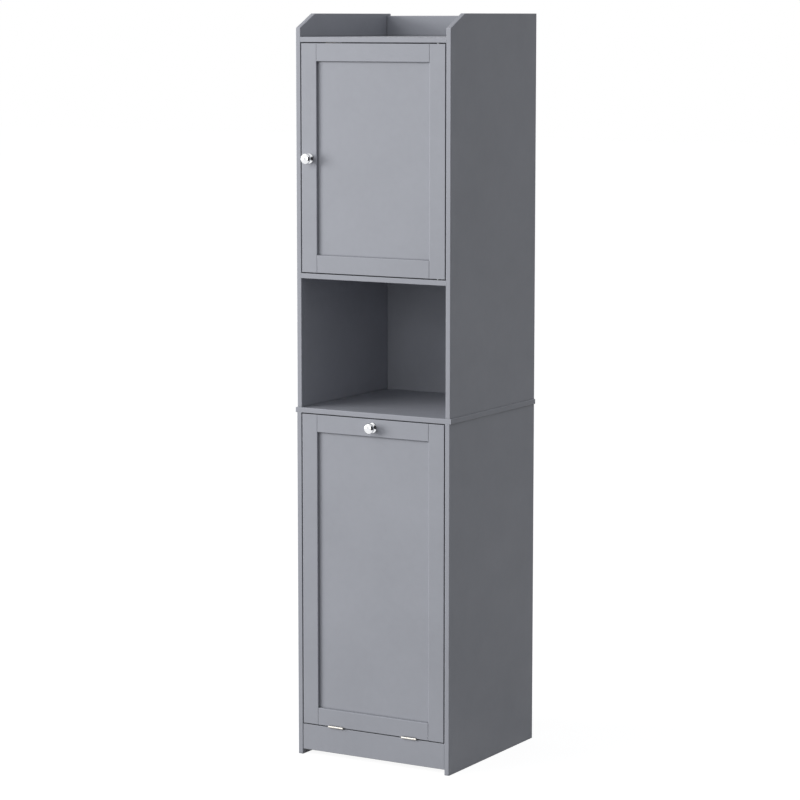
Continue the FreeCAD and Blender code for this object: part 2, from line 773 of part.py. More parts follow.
def knob(label, x, plane, z):
    """A turned knob, waisted between its foot against the door and its flat-faced head."""
    turned = Piece(label, x, plane, z)
    head_back = knob_head - knob_reach
    corners = [
        (0, 0),
        (knob_foot_radius, 0),
        (knob_foot_radius, -knob_foot),
        (knob_neck_radius, -knob_foot),
        (knob_neck_radius, head_back),
        (knob_head_radius, head_back),
        (knob_head_radius, -knob_reach),
        (0, -knob_reach),
    ]
    turned.turn("turning", corners)


def upper_door():
    low = upper_door_low
    height = upper_door_height
    left = stile("upper_stile_left", LEFT, upper_front, low, height)
    left.round_edges("arris", door_arris, at_front)
    right = stile("upper_stile_right", RIGHT, upper_front, low, height)
    place_in_stile = [(frame_width / 2, door_thickness / 2)]
    for word, level, toward in (("low", 0, 1), ("high", height, -1)):
        radius = bush_radius + seat_play
        right.bore(f"bush_{word}", "XY_Plane", place_in_stile, radius, bush_length, toward, level)
    right.round_edges("arris", door_arris, at_front)
    rail("upper_rail_bottom", upper_front, low, True)
    rail("upper_rail_top", upper_front, low + height - frame_width, False)
    door_panel("upper_door_panel", upper_front, low, height)
    knob("upper_knob", frame_width / 2 - door_half, upper_front, low + height / 2)


def hamper_door():
    low = lower_door_low
    height = lower_door_height
    for side, word in SIDES:
        upright = stile(f"hamper_stile_{word}", side, front, low, height)
        upright.round_edges("arris", door_arris, at_front)
    top_rail_low = low + height - frame_width
    rail("hamper_rail_bottom", front, low, True)
    rail("hamper_rail_top", front, top_rail_low, False)
    door_panel("hamper_door_panel", front, low, height)
    knob("hamper_knob", as_size(0), front, top_rail_low + frame_width / 2)


def pivot_hardware():
    """Stepped pins: thick ends in the boards, thin ends running in bushes in the door's stile."""
    thick_length = pivot_depth + door_gap - running_play
    length = pivot_depth + door_gap + pivot_reach
    pins = []
    for word, face, toward in (("low", divider_top, 1), ("high", top_board_low, -1)):
        direction = "+z" if toward > 0 else "-z"
        start = face - toward * pivot_depth
        name = f"pivot_pin_{word}"
        thin = rod(f"{name}_thin", pivot_radius, length, pivot_x, pivot_y, start, direction)
        thick_name = f"{name}_thick"
        thick = rod(thick_name, pivot_shoulder, thick_length, pivot_x, pivot_y, start, direction)
        pins.append(fuse(name, [thin, thick]))
    group("upper_pivot_pins", pins)

    bushes = []
    door_top = upper_door_low + upper_door_height
    for word, end, direction in (("low", upper_door_low, "+z"), ("high", door_top, "-z")):
        name = f"pivot_bush_{word}"
        body = rod(f"{name}_body", bush_radius, bush_length, pivot_x, pivot_y, end, direction)
        radius = pivot_radius + running_play
        bore = rod(f"{name}_bore", radius, bush_length, pivot_x, pivot_y, end, direction)
        bushes.append(cut(name, body, [bore]))
    group("pivot_bushes", bushes)


# ---------------------------------------------------------------- butt hinges of the hamper door

knuckle = hinge_length / 3
leaf_start = knuckle_radius + knuckle_relief
hinge_bore = hinge_pin_radius + running_play


def base_leaf(side, word):
    """The fixed leaf, flat on the plinth's top edge, with the two outer knuckles."""
    leaf = Piece(f"hinge_base_leaf_{word}", side * hinge_spread, hinge_y, hinge_z)
    low = -door_gap
    leaf.boss("barrel", "YZ_Plane", (0, 0), knuckle_radius, hinge_length, 0)
    plate = (0, low, leaf_depth, low + leaf_thickness)
    leaf.slab("plate", "YZ_Plane", plate, hinge_length, 0)
    notch = (-leaf_start, -leaf_start, leaf_start, leaf_start)
    leaf.recess("notch", "YZ_Plane", notch, knuckle, 0)
    leaf.bore("bore", "YZ_Plane", [(0, 0)], hinge_bore, hinge_length, 0)


def door_leaf(side, word):
    """The moving leaf, flat on the door's lower edge, with the middle knuckle."""
    leaf = Piece(f"hinge_door_leaf_{word}", side * hinge_spread, hinge_y, hinge_z)
    middle = knuckle - 2 * knuckle_play
    plate = (leaf_start, -leaf_thickness, leaf_depth, 0)
    leaf.slab("plate", "YZ_Plane", plate, hinge_length, 0)
    tab = (hinge_bore + seat_play, -leaf_thickness, leaf_depth, 0)
    leaf.slab("tab", "YZ_Plane", tab, middle, 0)
    leaf.boss("barrel", "YZ_Plane", (0, 0), knuckle_radius, middle, 0)
    leaf.bore("bore", "YZ_Plane", [(0, 0)], hinge_bore, hinge_length, 0)


def hinge_pins():
    pins = []
    for side, word in SIDES:
        start = side * hinge_spread - hinge_length / 2
        pins.append(
            rod(f"hinge_pin_{word}", hinge_pin_radius, hinge_length, start, hinge_y, hinge_z, "+x")
        )
    group("hinge_pins", pins)


# ---------------------------------------------------------------- tilt stays


def stay_arm(side, word):
    """A slotted flat bar, from its pivot on the door back along the slot to its round end."""
    pivot_y_place = hinge_y + pivot_back
    arm = Piece(f"stay_arm_{word}", side * arm_inner, pivot_y_place, hinge_z + stay_height)
    arm.body.Placement.Rotation = FreeCAD.Rotation(FreeCAD.Vector(1, 0, 0), 1)
    pivot_slope = pivot_back / stay_height
    lean = f"-atan({pivot_slope.formula}) - {(stay_angle / 2).formula} * 1deg"
    arm.body.setExpression("Placement.Rotation.Angle", lean)
    far_end = slot_end + slot_play
    bar = arm.sketch("bar", "YZ_Plane")
    round_ended_bar(bar, 0, far_end, arm_width / 2)
    arm.pad("bar", bar, arm_thickness, side)
    arm.bore("pivot_hole", "YZ_Plane", [(0, 0)], rivet_radius + running_play, arm_thickness, side)
    slot = arm.sketch("slot", "YZ_Plane")
    round_ended_bar(slot, slot_start - stay_slack, far_end, stud_radius + slot_play)
    arm.pocket("slot", slot, arm_thickness, side)


def stay_bracket(side, word):
    """A bent bracket on the hamper door's stile: a foot against it and an ear for the arm."""
    z = hinge_z + stay_height
    bracket = Piece(f"stay_bracket_{word}", side * ear_outer, lower_door_rear, z)
    half = bracket_height / 2
    foot = (0, 0, -side * bracket_width, stay_sheet)
    bracket.slab("foot", "XY_Plane", foot, bracket_height, 1, -half)
    ear = (0, -ear_height / 2, stay_reach + ear_height / 2, ear_height / 2)
    bracket.slab("ear", "YZ_Plane", ear, stay_sheet, -side)
    radius = rivet_radius + seat_play
    bracket.bore("rivet_hole", "YZ_Plane", [(stay_reach, 0)], radius, stay_sheet, -side)


def stay_rivets():
    """Rivets peened flush in the brackets' ears, with a head that keeps the arm on."""
    rivets = []
    y = hinge_y + pivot_back
    z = hinge_z + stay_height
    grip = stay_sheet + stay_play * 2 + arm_thickness
    for side, word in SIDES:
        inner = side * (ear_outer - stay_sheet)
        outer = side * (arm_outer + stay_play)
        away = sideways(side)
        name = f"stay_rivet_{word}"
        shank = rod(f"{name}_shank", rivet_radius, grip, inner, y, z, away)
        head = rod(f"{name}_head", rivet_head_radius, rivet_head, outer, y, z, away)
        rivets.append(fuse(name, [shank, head]))
    group("stay_rivets", rivets)


def stay_studs():
    """Studs in the side panels, with a head that keeps the arm on."""
    studs = []
    y = hinge_y + stud_back
    z = hinge_z + stud_rise
    reach = arm_gap + arm_thickness + stay_play
    for side, word in SIDES:
        name = f"stay_stud_{word}"
        back = sideways(-side)
        start = side * (inside + stud_depth)
        shank = rod(f"{name}_shank", stud_radius, stud_depth + reach, start, y, z, back)
        head_start = side * (inside - reach)
        head = rod(f"{name}_head", stud_head_radius, arm_thickness, head_start, y, z, back)
        studs.append(fuse(name, [shank, head]))
    group("stay_studs", studs)


# ---------------------------------------------------------------- magnetic catches


def catch(prefix, x, door_rear, board_low):
    """A magnetic catch under a board, the strike plate on the door, and the catch's two poles."""
    half = catch_length / 2
    strike_face = door_rear + strike_thickness
    pole_face = strike_face + catch_play
    case_front = pole_face + pole_reach
    low = (x - half, case_front, board_low - catch_height)
    high = (x + half, case_front + catch_depth, board_low)
    case = block(f"{prefix}_catch_case", low, high)
    poles = []
    slots = []
    for number in (1, 2):
        drop = catch_height * number / 3 + pole_thickness / 2
        low = (x - pole_length / 2, pole_face, board_low - drop)
        high = (x + pole_length / 2, pole_face + pole_depth, board_low - drop + pole_thickness)
        poles.append(block(f"{prefix}_pole_{number}", low, high))
        slots.append(block(f"{prefix}_pole_slot_{number}", low, high))
    sub_part(f"{prefix}_catch", cut(f"{prefix}_catch", case, slots))
    low = (x - strike_length / 2, door_rear, board_low - catch_height)
    high = (x + strike_length / 2, strike_face, board_low - door_gap)
    sub_part(f"{prefix}_strike_plate", block(f"{prefix}_strike_plate", low, high))
    return poles


def catches():
    poles = catch("hamper", hamper_catch_place, lower_door_rear, lower_top)
    poles += catch("upper", upper_catch_place, upper_front + door_thickness, top_board_low)
    group("catch_poles", poles)


# ---------------------------------------------------------------- bag frame and laundry bag

ring_inner = frame_spread - bar_thickness
ring_near = frame_front + bar_thickness
ring_far = frame_reach - bar_thickness


def bag_frame():
    """A ring of flat bar behind the door, with two arms, two legs on the stiles and two braces."""
    frame = Piece("bag_frame", 0, lower_door_rear, ring_z)
    ring = frame.sketch("ring", "XY_Plane")
    corner = frame_corner
    rounded_rectangle(ring, -frame_spread, frame_front, frame_spread, frame_reach, corner)
    rounded_rectangle(ring, -ring_inner, ring_near, ring_inner, ring_far, corner - bar_thickness)
    frame.pad("ring", ring, bar_height)
    slope = brace_back / frame_drop
    for side, word in SIDES:
        leg = (side * (frame_spread - leg_width), 0, side * frame_spread, bar_thickness)
        leg_height = frame_drop + bar_height
        frame.slab(f"leg_{word}", "XY_Plane", leg, leg_height, 1, -frame_drop)
        outer = side * frame_spread
        arm = (0, 0, frame_front + frame_corner * 1.5, bar_height)
        frame.slab(f"arm_{word}", "YZ_Plane", arm, bar_thickness, -side, outer)
        brace = frame.sketch(f"brace_{word}", "YZ_Plane", outer)
        corners = [
            (0, -frame_drop),
            (brace_back, 0),
            (brace_back - bar_height * slope, 0),
            (0, bar_height - frame_drop),
        ]
        outline(brace, corners)
        frame.pad(f"brace_{word}", brace, bar_thickness, -side)


def loop_profile(wall, toward):
    """A loop climbs beside the bag's wall, crosses over the bar and hangs down outside it."""
    inner_face = wall - toward * loop_cloth
    outer_face = wall + toward * (bag_play + bar_thickness + loop_gap)
    outer_end = outer_face + toward * loop_cloth
    under = bar_height + loop_gap
    over = under + loop_cloth
    return [
        (inner_face, -loop_hem),
        (wall, -loop_hem),
        (wall, under),
        (outer_face, under),
        (outer_face, -loop_end),
        (outer_end, -loop_end),
        (outer_end, over),
        (inner_face, over),
    ]


def laundry_bag():
    """An open cloth bag, closed below, hung from the ring by eight loops."""
    bag = Piece("laundry_bag", 0, lower_door_rear, ring_z)
    half = ring_inner - bag_play
    near_wall = ring_near + bag_play
    far_wall = ring_far - bag_play
    corner = frame_corner - bar_thickness - bag_play
    outside = bag.sketch("outside", "XY_Plane", -bag_height)
    rounded_rectangle(outside, -half, near_wall, half, far_wall, corner)
    bag.pad("outside", outside, bag_height + bar_height)
    hollow = bag.sketch("inside", "XY_Plane", bag_wall - bag_height)
    inner = half - bag_wall
    inner_near = near_wall + bag_wall
    inner_far = far_wall - bag_wall
    rounded_rectangle(hollow, -inner, inner_near, inner, inner_far, corner - bag_wall)
    bag.pocket("inside", hollow, bag_height + bar_height - bag_wall)

    spread = (far_wall - near_wall) / 4
    middle = (near_wall + far_wall) / 2
    for number, y in enumerate((middle - spread, middle + spread), start=1):
        for side, word in SIDES:
            name = f"loop_{word}_{number}"
            loop = bag.sketch(name, "XZ_Plane", -y)
            outline(loop, loop_profile(side * half, side))
            bag.pad(name, loop, loop_width, 0)
    for wall, toward, word in ((near_wall, -1, "front"), (far_wall, 1, "rear")):
        for side, end in SIDES:
            name = f"loop_{word}_{end}"
            loop = bag.sketch(name, "YZ_Plane", side * half / 2)
            outline(loop, loop_profile(wall, toward))
            bag.pad(name, loop, loop_width, 0)


# ---------------------------------------------------------------- the whole cabinet


def build():
    for side, word in SIDES:
        lower_side(side, word)
        upper_side(side, word)
        base_leaf(side, word)
        door_leaf(side, word)
        stay_arm(side, word)
        stay_bracket(side, word)
    plinth_board()
    bottom_panel()
    lower_back_panel()
    middle_board()
    loose_tenons()
    divider_shelf()
    top_board()
    gallery_rail()
    wall_fixing_rail()
    upper_back_panel()
    adjustable_shelf()
    shelf_pegs()
    upper_door()
    hamper_door()
    pivot_hardware()
    hinge_pins()
    stay_rivets()
    stay_studs()
    catches()
    bag_frame()
    laundry_bag()
    DOC.recompute()


def check():
    """Stop before anything is written if a feature failed, did nothing or left a bad shape."""
    for item in DOC.Objects:
        if "Invalid" in item.State or "Error" in item.State:
            raise RuntimeError(f"{item.Name} failed: {item.State}")
    for item in DOC.Objects:
        adds = item.TypeId == "PartDesign::Pad"
        takes = item.TypeId == "PartDesign::Pocket"
        if not (adds or takes) or item.BaseFeature is None:
            continue
        change = item.Shape.Volume - item.BaseFeature.Shape.Volume
        if (adds and change <= 0) or (takes and change >= 0):
            raise RuntimeError(f"{item.Name} changes the volume by {change}")
    labels = [piece.Label for piece in SUB_PARTS]
    if len(set(labels)) != len(labels):
        raise RuntimeError("two sub-parts share a label")
    for piece in SUB_PARTS:
        if piece.Shape.isNull() or not piece.Shape.isValid() or not piece.Shape.Solids:
            raise RuntimeError(f"{piece.Label} has no valid shape")


def export():
    os.makedirs("parts", exist_ok=True)
    for piece in SUB_PARTS:
        piece.Shape.exportStep(f"parts/{piece.Label}.step")
    print(f"{len(SUB_PARTS)} sub-parts written")


build()
check()
export()
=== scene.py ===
import math

import bmesh
import bpy
from mathutils import Matrix, Vector, noise


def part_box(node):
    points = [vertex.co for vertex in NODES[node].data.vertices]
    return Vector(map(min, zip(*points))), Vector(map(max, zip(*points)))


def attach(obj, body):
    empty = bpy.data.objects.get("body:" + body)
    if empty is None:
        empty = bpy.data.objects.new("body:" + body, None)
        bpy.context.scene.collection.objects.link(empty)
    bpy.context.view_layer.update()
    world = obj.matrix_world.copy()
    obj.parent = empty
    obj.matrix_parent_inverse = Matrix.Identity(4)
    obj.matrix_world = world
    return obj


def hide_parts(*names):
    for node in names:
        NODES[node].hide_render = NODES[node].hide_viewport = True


# Looks, turned knobs, screw heads, cotton laundry bag and studio for the tall bathroom cabinet.
# Lengths are in metres in the row frame, or in mm where they are multiplied by MM.

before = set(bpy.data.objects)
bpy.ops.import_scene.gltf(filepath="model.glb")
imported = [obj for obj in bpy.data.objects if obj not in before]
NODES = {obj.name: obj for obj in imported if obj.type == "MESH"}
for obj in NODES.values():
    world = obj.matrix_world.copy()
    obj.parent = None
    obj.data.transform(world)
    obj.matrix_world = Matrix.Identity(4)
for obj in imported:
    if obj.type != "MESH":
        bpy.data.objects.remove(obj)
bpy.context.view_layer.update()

MM = 0.001


# ---------------------------------------------------------------- materials


class Look:
    """A node material being built. Its methods add nodes and return output sockets."""

    def __init__(self, name, coordinates="Object"):
        self.material = bpy.data.materials.new(name)
        self.material.use_nodes = True
        self.tree = self.material.node_tree
        self.tree.nodes.clear()
        output = self.tree.nodes.new("ShaderNodeOutputMaterial")
        self.shader = self.tree.nodes.new("ShaderNodeBsdfPrincipled")
        self.tree.links.new(self.shader.outputs[0], output.inputs["Surface"])
        self.place = self.tree.nodes.new("ShaderNodeTexCoord").outputs[coordinates]

    def feed(self, node, socket, value):
        if isinstance(value, bpy.types.NodeSocket):
            self.tree.links.new(value, node.inputs[socket])
        else:
            node.inputs[socket].default_value = value

    def set(self, **values):
        for name, value in values.items():
            self.feed(self.shader, name.replace("_", " "), value)

    def stretched(self, *scale):
        node = self.tree.nodes.new("ShaderNodeMapping")
        self.feed(node, "Vector", self.place)
        node.inputs["Scale"].default_value = scale
        return node.outputs[0]

    def noise(self, scale, detail=2.0, rough=0.5, place=None):
        node = self.tree.nodes.new("ShaderNodeTexNoise")
        self.feed(node, "Vector", place or self.place)
        self.feed(node, "Scale", scale)
        self.feed(node, "Detail", detail)
        self.feed(node, "Roughness", rough)
        return node.outputs[0]

    def streaks(self, *scale, detail=2.0, rough=0.5):
        """Noise drawn out along the axes that have the smaller scale."""
        return self.noise(1.0, detail, rough, self.stretched(*scale))

    def cells(self, scale):
        node = self.tree.nodes.new("ShaderNodeTexVoronoi")
        self.feed(node, "Vector", self.place)
        self.feed(node, "Scale", scale)
        return node.outputs["Color"]

    def math(self, operation, a, b=0.0):
        node = self.tree.nodes.new("ShaderNodeMath")
        node.operation = operation
        self.feed(node, 0, a)
        self.feed(node, 1, b)
        return node.outputs[0]

    def blend(self, first, share, second):
        """first taken by its share, and second for the rest."""
        rest = self.math("MULTIPLY", second, 1.0 - share)
        return self.math("ADD", self.math("MULTIPLY", first, share), rest)

    def between(self, value, low, high, from_low=0.25, from_high=0.75):
        node = self.tree.nodes.new("ShaderNodeMapRange")
        self.feed(node, "Value", value)
        self.feed(node, "From Min", from_low)
        self.feed(node, "From Max", from_high)
        self.feed(node, "To Min", low)
        self.feed(node, "To Max", high)
        return node.outputs[0]

    def tint(self, factor, first, second):
        node = self.tree.nodes.new("ShaderNodeMix")
        node.data_type = "RGBA"
        self.feed(node, 0, factor)
        self.feed(node, 6, (*first, 1.0))
        self.feed(node, 7, (*second, 1.0))
        return node.outputs[2]

    def bump(self, height, distance, strength=1.0, under=None):
        node = self.tree.nodes.new("ShaderNodeBump")
        self.feed(node, "Strength", strength)
        self.feed(node, "Distance", distance)
        self.feed(node, "Height", height)
        if under:
            self.feed(node, "Normal", under)
        return node.outputs[0]

    def painted_gap_shade(self, reach, darkest):
        """Painted shade: 1 on open faces, down to darkest in joints and gaps narrower than reach, where
        shade falls.
        """
        node = self.tree.nodes.new("ShaderNodeAmbientOcclusion")
        node.samples = 8
        self.feed(node, "Distance", reach)
        return self.between(node.outputs["AO"], darkest, 1.0, from_low=0.2, from_high=0.93)

    def painted_edge_highlight(self, reach, gain):
        """Painted highlight: 1 on faces, up to 1 + gain along a board's edges, where the lacquer catches
        the light.
        """
        bevel = self.tree.nodes.new("ShaderNodeBevel")
        bevel.samples = 6
        self.feed(bevel, "Radius", reach)
        surface = self.tree.nodes.new("ShaderNodeNewGeometry")
        turn = self.tree.nodes.new("ShaderNodeVectorMath")
        turn.operation = "DOT_PRODUCT"
        self.feed(turn, 0, bevel.outputs[0])
        self.feed(turn, 1, surface.outputs["True Normal"])
        return self.between(turn.outputs["Value"], 1.0 + gain, 1.0, from_low=0.6, from_high=0.985)

    def scaled(self, colour, factor):
        node = self.tree.nodes.new("ShaderNodeVectorMath")
        node.operation = "SCALE"
        self.feed(node, 0, colour)
        self.feed(node, "Scale", factor)
        return node.outputs[0]

    def parts(self):
        node = self.tree.nodes.new("ShaderNodeSeparateXYZ")
        self.feed(node, 0, self.place)
        return node.outputs


def shade(colour, factor):
    return tuple(min(1.0, channel * factor) for channel in colour)


def painted(name, colour, gloss):
    """Satin lacquer sprayed on fibreboard: faint mottling, orange peel, painted shade in joints and gaps,
    and a painted highlight along the arrises.
    """
    look = Look(name)
    mottle = look.blend(look.noise(5.5, detail=3.0), 0.7, look.noise(62.0, detail=4.0, rough=0.6))
    tone = look.between(mottle, 0.0, 1.0, 0.35, 0.65)
    paint = look.tint(tone, shade(colour, 0.965), shade(colour, 1.035))
    # The paint colour carries painted shade in joints and gaps and a painted highlight along the edges.
    gap_shade = look.painted_gap_shade(reach=0.005, darkest=0.34)
    edge_highlight = look.painted_edge_highlight(reach=0.0021, gain=1.5)
    look.set(Base_Color=look.scaled(paint, look.math("MULTIPLY", gap_shade, edge_highlight)))
    look.set(Roughness=look.between(look.noise(26.0, detail=5.0, rough=0.65), gloss - 0.05, gloss + 0.07))
    peel = look.bump(look.noise(640.0), distance=0.00003, strength=0.45)
    grain = look.bump(look.noise(95.0, detail=3.0), distance=0.00008, strength=0.35, under=peel)
    look.set(Normal=grain, IOR=1.46)
    look.shader.inputs["Specular IOR Level"].default_value = 0.2
    look.shader.inputs["Coat Weight"].default_value = 0.02
    look.shader.inputs["Coat Roughness"].default_value = 0.24
    return look.material


def back_panel_look(name, colour):
    """Thin lacquered hardboard: a flatter sheen with a close pebble grain."""
    look = Look(name)
    tone = look.between(look.noise(9.0, detail=4.0, rough=0.6), 0.0, 1.0, 0.35, 0.65)
    look.set(Base_Color=look.tint(tone, shade(colour, 0.95), shade(colour, 1.04)))
    look.set(Roughness=look.between(look.noise(40.0, detail=4.0), 0.52, 0.66))
    pebble = look.bump(look.cells(900.0), distance=0.00003, strength=0.4)
    grain = look.bump(look.noise(240.0, detail=3.0), distance=0.00006, strength=0.4, under=pebble)
    look.set(Normal=grain, IOR=1.45)
    return look.material


def beech_look(name, colour):
    """Tenon wood with rings and short dark flecks."""
    look = Look(name)
    rings = look.streaks(28.0, 28.0, 260.0, detail=5.0, rough=0.6)
    flecks = look.streaks(900.0, 900.0, 90.0)
    tone = look.between(look.blend(rings, 0.75, flecks), 0.0, 1.0, 0.35, 0.65)
    look.set(Base_Color=look.tint(tone, shade(colour, 0.74), shade(colour, 1.16)))
    look.set(Roughness=look.between(rings, 0.5, 0.68))
    look.set(Normal=look.bump(flecks, distance=0.00008, strength=0.5))
    return look.material


def metal(name, colour, rough, spread, scratch, spangle=False):
    """Plated or galvanised steel with fine draw lines, zinc's spangle where asked, and painted shade in its
    recesses.
    """
    look = Look(name)
    tone = look.cells(420.0) if spangle else look.noise(70.0, detail=4.0)
    tone = look.between(tone, 0.0, 1.0, 0.2, 0.8)
    plate = look.tint(tone, shade(colour, 0.9), shade(colour, 1.06))
    # Painted shade: the plating's colour is darkened in recesses and gaps.
    look.set(Base_Color=look.scaled(plate, look.painted_gap_shade(reach=0.007, darkest=0.08)), Metallic=1.0)
    worn = look.noise(140.0, detail=5.0, rough=0.65)
    look.set(Roughness=look.between(worn, rough, rough + spread))
    look.set(Normal=look.bump(look.streaks(240.0, 1900.0, 1900.0), scratch, strength=0.5))
    return look.material


def chrome_look(name, colour):
    """Polished plating with a faint haze and the trace of fingers."""
    look = Look(name)
    haze = look.noise(160.0, detail=5.0, rough=0.6)
    smear = look.streaks(90.0, 90.0, 240.0, detail=3.0)
    tone = look.between(haze, 0.0, 1.0)
    look.set(Base_Color=look.tint(tone, shade(colour, 0.96), shade(colour, 1.03)), Metallic=1.0)
    look.set(Roughness=look.between(look.math("MULTIPLY", haze, smear), 0.035, 0.13, 0.12, 0.42))
    look.set(Normal=look.bump(look.noise(380.0), distance=0.000012, strength=0.4))
    return look.material


def moulded(name, colour):
    """Injection-moulded plastic, or spun thread, with a fine matt grain."""
    look = Look(name)
    tone = look.between(look.noise(120.0, detail=3.0), 0.0, 1.0)
    look.set(Base_Color=look.tint(tone, shade(colour, 0.97), shade(colour, 1.02)))
    look.set(Roughness=look.between(look.noise(300.0, detail=4.0), 0.34, 0.5), IOR=1.49)
    look.set(Normal=look.bump(look.noise(1500.0), distance=0.00002, strength=0.5))
    look.shader.inputs["Subsurface Weight"].default_value = 0.08
    look.shader.inputs["Subsurface Scale"].default_value = 0.002
    return look.material


def powder_coat(name, colour):
    """Baked powder coating with a close orange peel."""
    look = Look(name)
    tone = look.between(look.noise(45.0, detail=3.0), 0.0, 1.0)
    look.set(Base_Color=look.tint(tone, shade(colour, 0.97), shade(colour, 1.02)))
    look.set(Roughness=look.between(look.noise(420.0, detail=3.0), 0.4, 0.55), IOR=1.5)
    look.set(Normal=look.bump(look.noise(1100.0), distance=0.00004, strength=0.6))
    return look.material


def woven(name, colour, thread):
    """Plain-weave cotton. Its coordinates are a map of the cloth in metres."""
    look = Look(name, "UV")
    u, v, _ = look.parts()
    turn = 2 * math.pi / thread
    slub = look.between(look.noise(260.0, detail=3.0), -0.9, 0.9)
    over = look.math("SINE", look.math("ADD", look.math("MULTIPLY", u, turn), slub))
    under = look.math("SINE", look.math("ADD", look.math("MULTIPLY", v, turn), slub))
    weave = look.math("MULTIPLY", over, under)
    warp = look.streaks(30.0, 700.0, 1.0, detail=3.0, rough=0.6)
    weft = look.streaks(700.0, 30.0, 1.0, detail=3.0, rough=0.6)
    tone = look.between(look.blend(warp, 0.5, weft), 0.1, 0.85, 0.35, 0.65)
    tone = look.math("ADD", tone, look.math("MULTIPLY", weave, 0.16))
    look.set(Base_Color=look.tint(tone, shade(colour, 0.86), shade(colour, 1.05)))
    look.set(Roughness=look.between(tone, 0.94, 0.8, 0.0, 1.0))
    threads = look.bump(weave, distance=0.00018, strength=0.7)
    creases = look.noise(90.0, detail=4.0, rough=0.6)
    look.set(Normal=look.bump(creases, distance=0.0004, strength=0.35, under=threads))
    look.shader.inputs["Sheen Weight"].default_value = 0.22
    look.shader.inputs["Sheen Roughness"].default_value = 0.5
    look.shader.inputs["Specular IOR Level"].default_value = 0.2
    return look.material


THREAD_PITCH = 1.1 * MM

# One look for each material slot of the record.
LOOKS = {
    "painted_board": painted("painted_board_look", (0.360, 0.370, 0.408), gloss=0.44),
    "back_board": back_panel_look("back_board_look", (0.350, 0.360, 0.397)),
    "beech": beech_look("beech_look", (0.50, 0.31, 0.16)),
    "nickel_steel": metal(
        "nickel_steel_look", (0.66, 0.63, 0.58), rough=0.17, spread=0.14, scratch=0.00001),
    "zinc_steel": metal(
        "zinc_steel_look", (0.56, 0.57, 0.59), rough=0.26, spread=0.18, scratch=0.00001, spangle=True),
    "white_plastic": moulded("white_plastic_look", (0.74, 0.74, 0.71)),
    "coated_steel": powder_coat("coated_steel_look", (0.74, 0.74, 0.73)),
    "cotton": woven("cotton_look", (0.70, 0.65, 0.55), THREAD_PITCH),
    "polished_chrome": chrome_look("polished_chrome_look", (0.80, 0.81, 0.83)),
}
THREAD = moulded("stitching_look", (0.62, 0.57, 0.47))
# Near-black metal for the screws' cross recesses: painted shade where the recess lies in shade.
RECESS_SHADE = metal("screw_recess_look", (0.09, 0.09, 0.10), rough=0.5, spread=0.2, scratch=0.00001)

for node in NODES.values():
    slot = node.data.materials[0].name.split(".")[0]
    node.data.materials.clear()
    node.data.materials.append(LOOKS[slot])


# ------------------------------------------------------------------ meshes


def add_object(name, data):
    made = bpy.data.objects.new(name, data)
    bpy.context.scene.collection.objects.link(made)
    return made


def new_piece(name, points, faces, body, slot, look=None, uv=None):
    """A smooth mesh in the row frame that rides on a body. uv holds one (u, v) per face corner."""
    mesh = bpy.data.meshes.new(name)
    mesh.from_pydata(points, [], faces)
    if uv:
        layer = mesh.uv_layers.new(name="cloth")
        for corner, pair in zip(layer.data, uv):
            corner.uv = pair
    mesh.polygons.foreach_set("use_smooth", [True] * len(mesh.polygons))
    mesh.materials.append(look or LOOKS[slot])
    mesh.update()
    piece = add_object(name, mesh)
    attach(piece, body)
    return piece


def turned(profile, count):
    """Points and faces of a profile of (radius, height) turned about Z, closed at radius 0."""
    points, faces, rings = [], [], []
    for radius, height in profile:
        if radius == 0:
            rings.append([len(points)])
            points.append(Vector((0, 0, height)))
            continue
        rings.append(list(range(len(points), len(points) + count)))
        for i in range(count):
            angle = 2 * math.pi * i / count
            points.append(Vector((radius * math.cos(angle), radius * math.sin(angle), height)))
    for low, high in zip(rings, rings[1:]):
        for i in range(count):
            j = (i + 1) % count
            corners = (low[i % len(low)], low[j % len(low)], high[j % len(high)], high[i % len(high)])
            faces.append([v for n, v in enumerate(corners) if v not in corners[:n]])
    return points, faces


def smooth_line(knots, steps):
    """Catmull-Rom curve through knots of two numbers; a knot given twice keeps its corner."""
    line = []
    last = len(knots) - 1
    for i in range(last):
        if knots[i] == knots[i + 1]:
            continue
        p0, p1, p2, p3 = (Vector(knots[n]) for n in (max(i - 1, 0), i, i + 1, min(i + 2, last)))
        for k in range(steps):
            t = k / steps
            line.append(
                0.5 * (2 * p1 + (p2 - p0) * t + (2 * p0 - 5 * p1 + 4 * p2 - p3) * t * t
                       + (3 * p1 - p0 - 3 * p2 + p3) * t ** 3)
            )
    line.append(Vector(knots[last]))
    return line


# Knob profile in mm: (radius, distance from the door). Flared foot, slim waist, domed head.
KNOB = [
    (0.0, 0.0), (0.0, 0.0),
    (11.6, 0.0), (11.6, 0.0), (11.8, 0.7), (11.5, 1.5), (11.5, 1.5),
    (10.0, 2.4), (8.3, 3.9), (7.0, 6.3), (6.9, 8.4), (8.0, 10.6), (10.4, 12.2),
    (12.0, 13.2), (12.45, 14.6), (12.2, 16.1), (11.2, 17.6), (9.4, 19.0), (7.0, 20.0), (3.8, 20.65),
    (0.0, 20.85),
]
KNOB_STEPS = 5
KNOB_SIDES = 72


def make_knob(name, node, body):
    low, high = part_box(node)
    centre = Vector(((low.x + high.x) / 2, high.y, (low.z + high.z) / 2))
    profile = [(max(p.x, 0.0) * MM, p.y * MM) for p in smooth_line(KNOB, KNOB_STEPS)]
    points, faces = turned(profile, KNOB_SIDES)
    facing = Matrix.Rotation(math.pi / 2, 3, "X")
    knob = new_piece(name, [centre + facing @ p for p in points], faces, body, "polished_chrome")
    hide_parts(node)


make_knob("turned_upper_knob", "upper_knob", "upper_door")
make_knob("turned_hamper_knob", "hamper_knob", "hamper_door")


# ------------------------------------------------------------------ screws

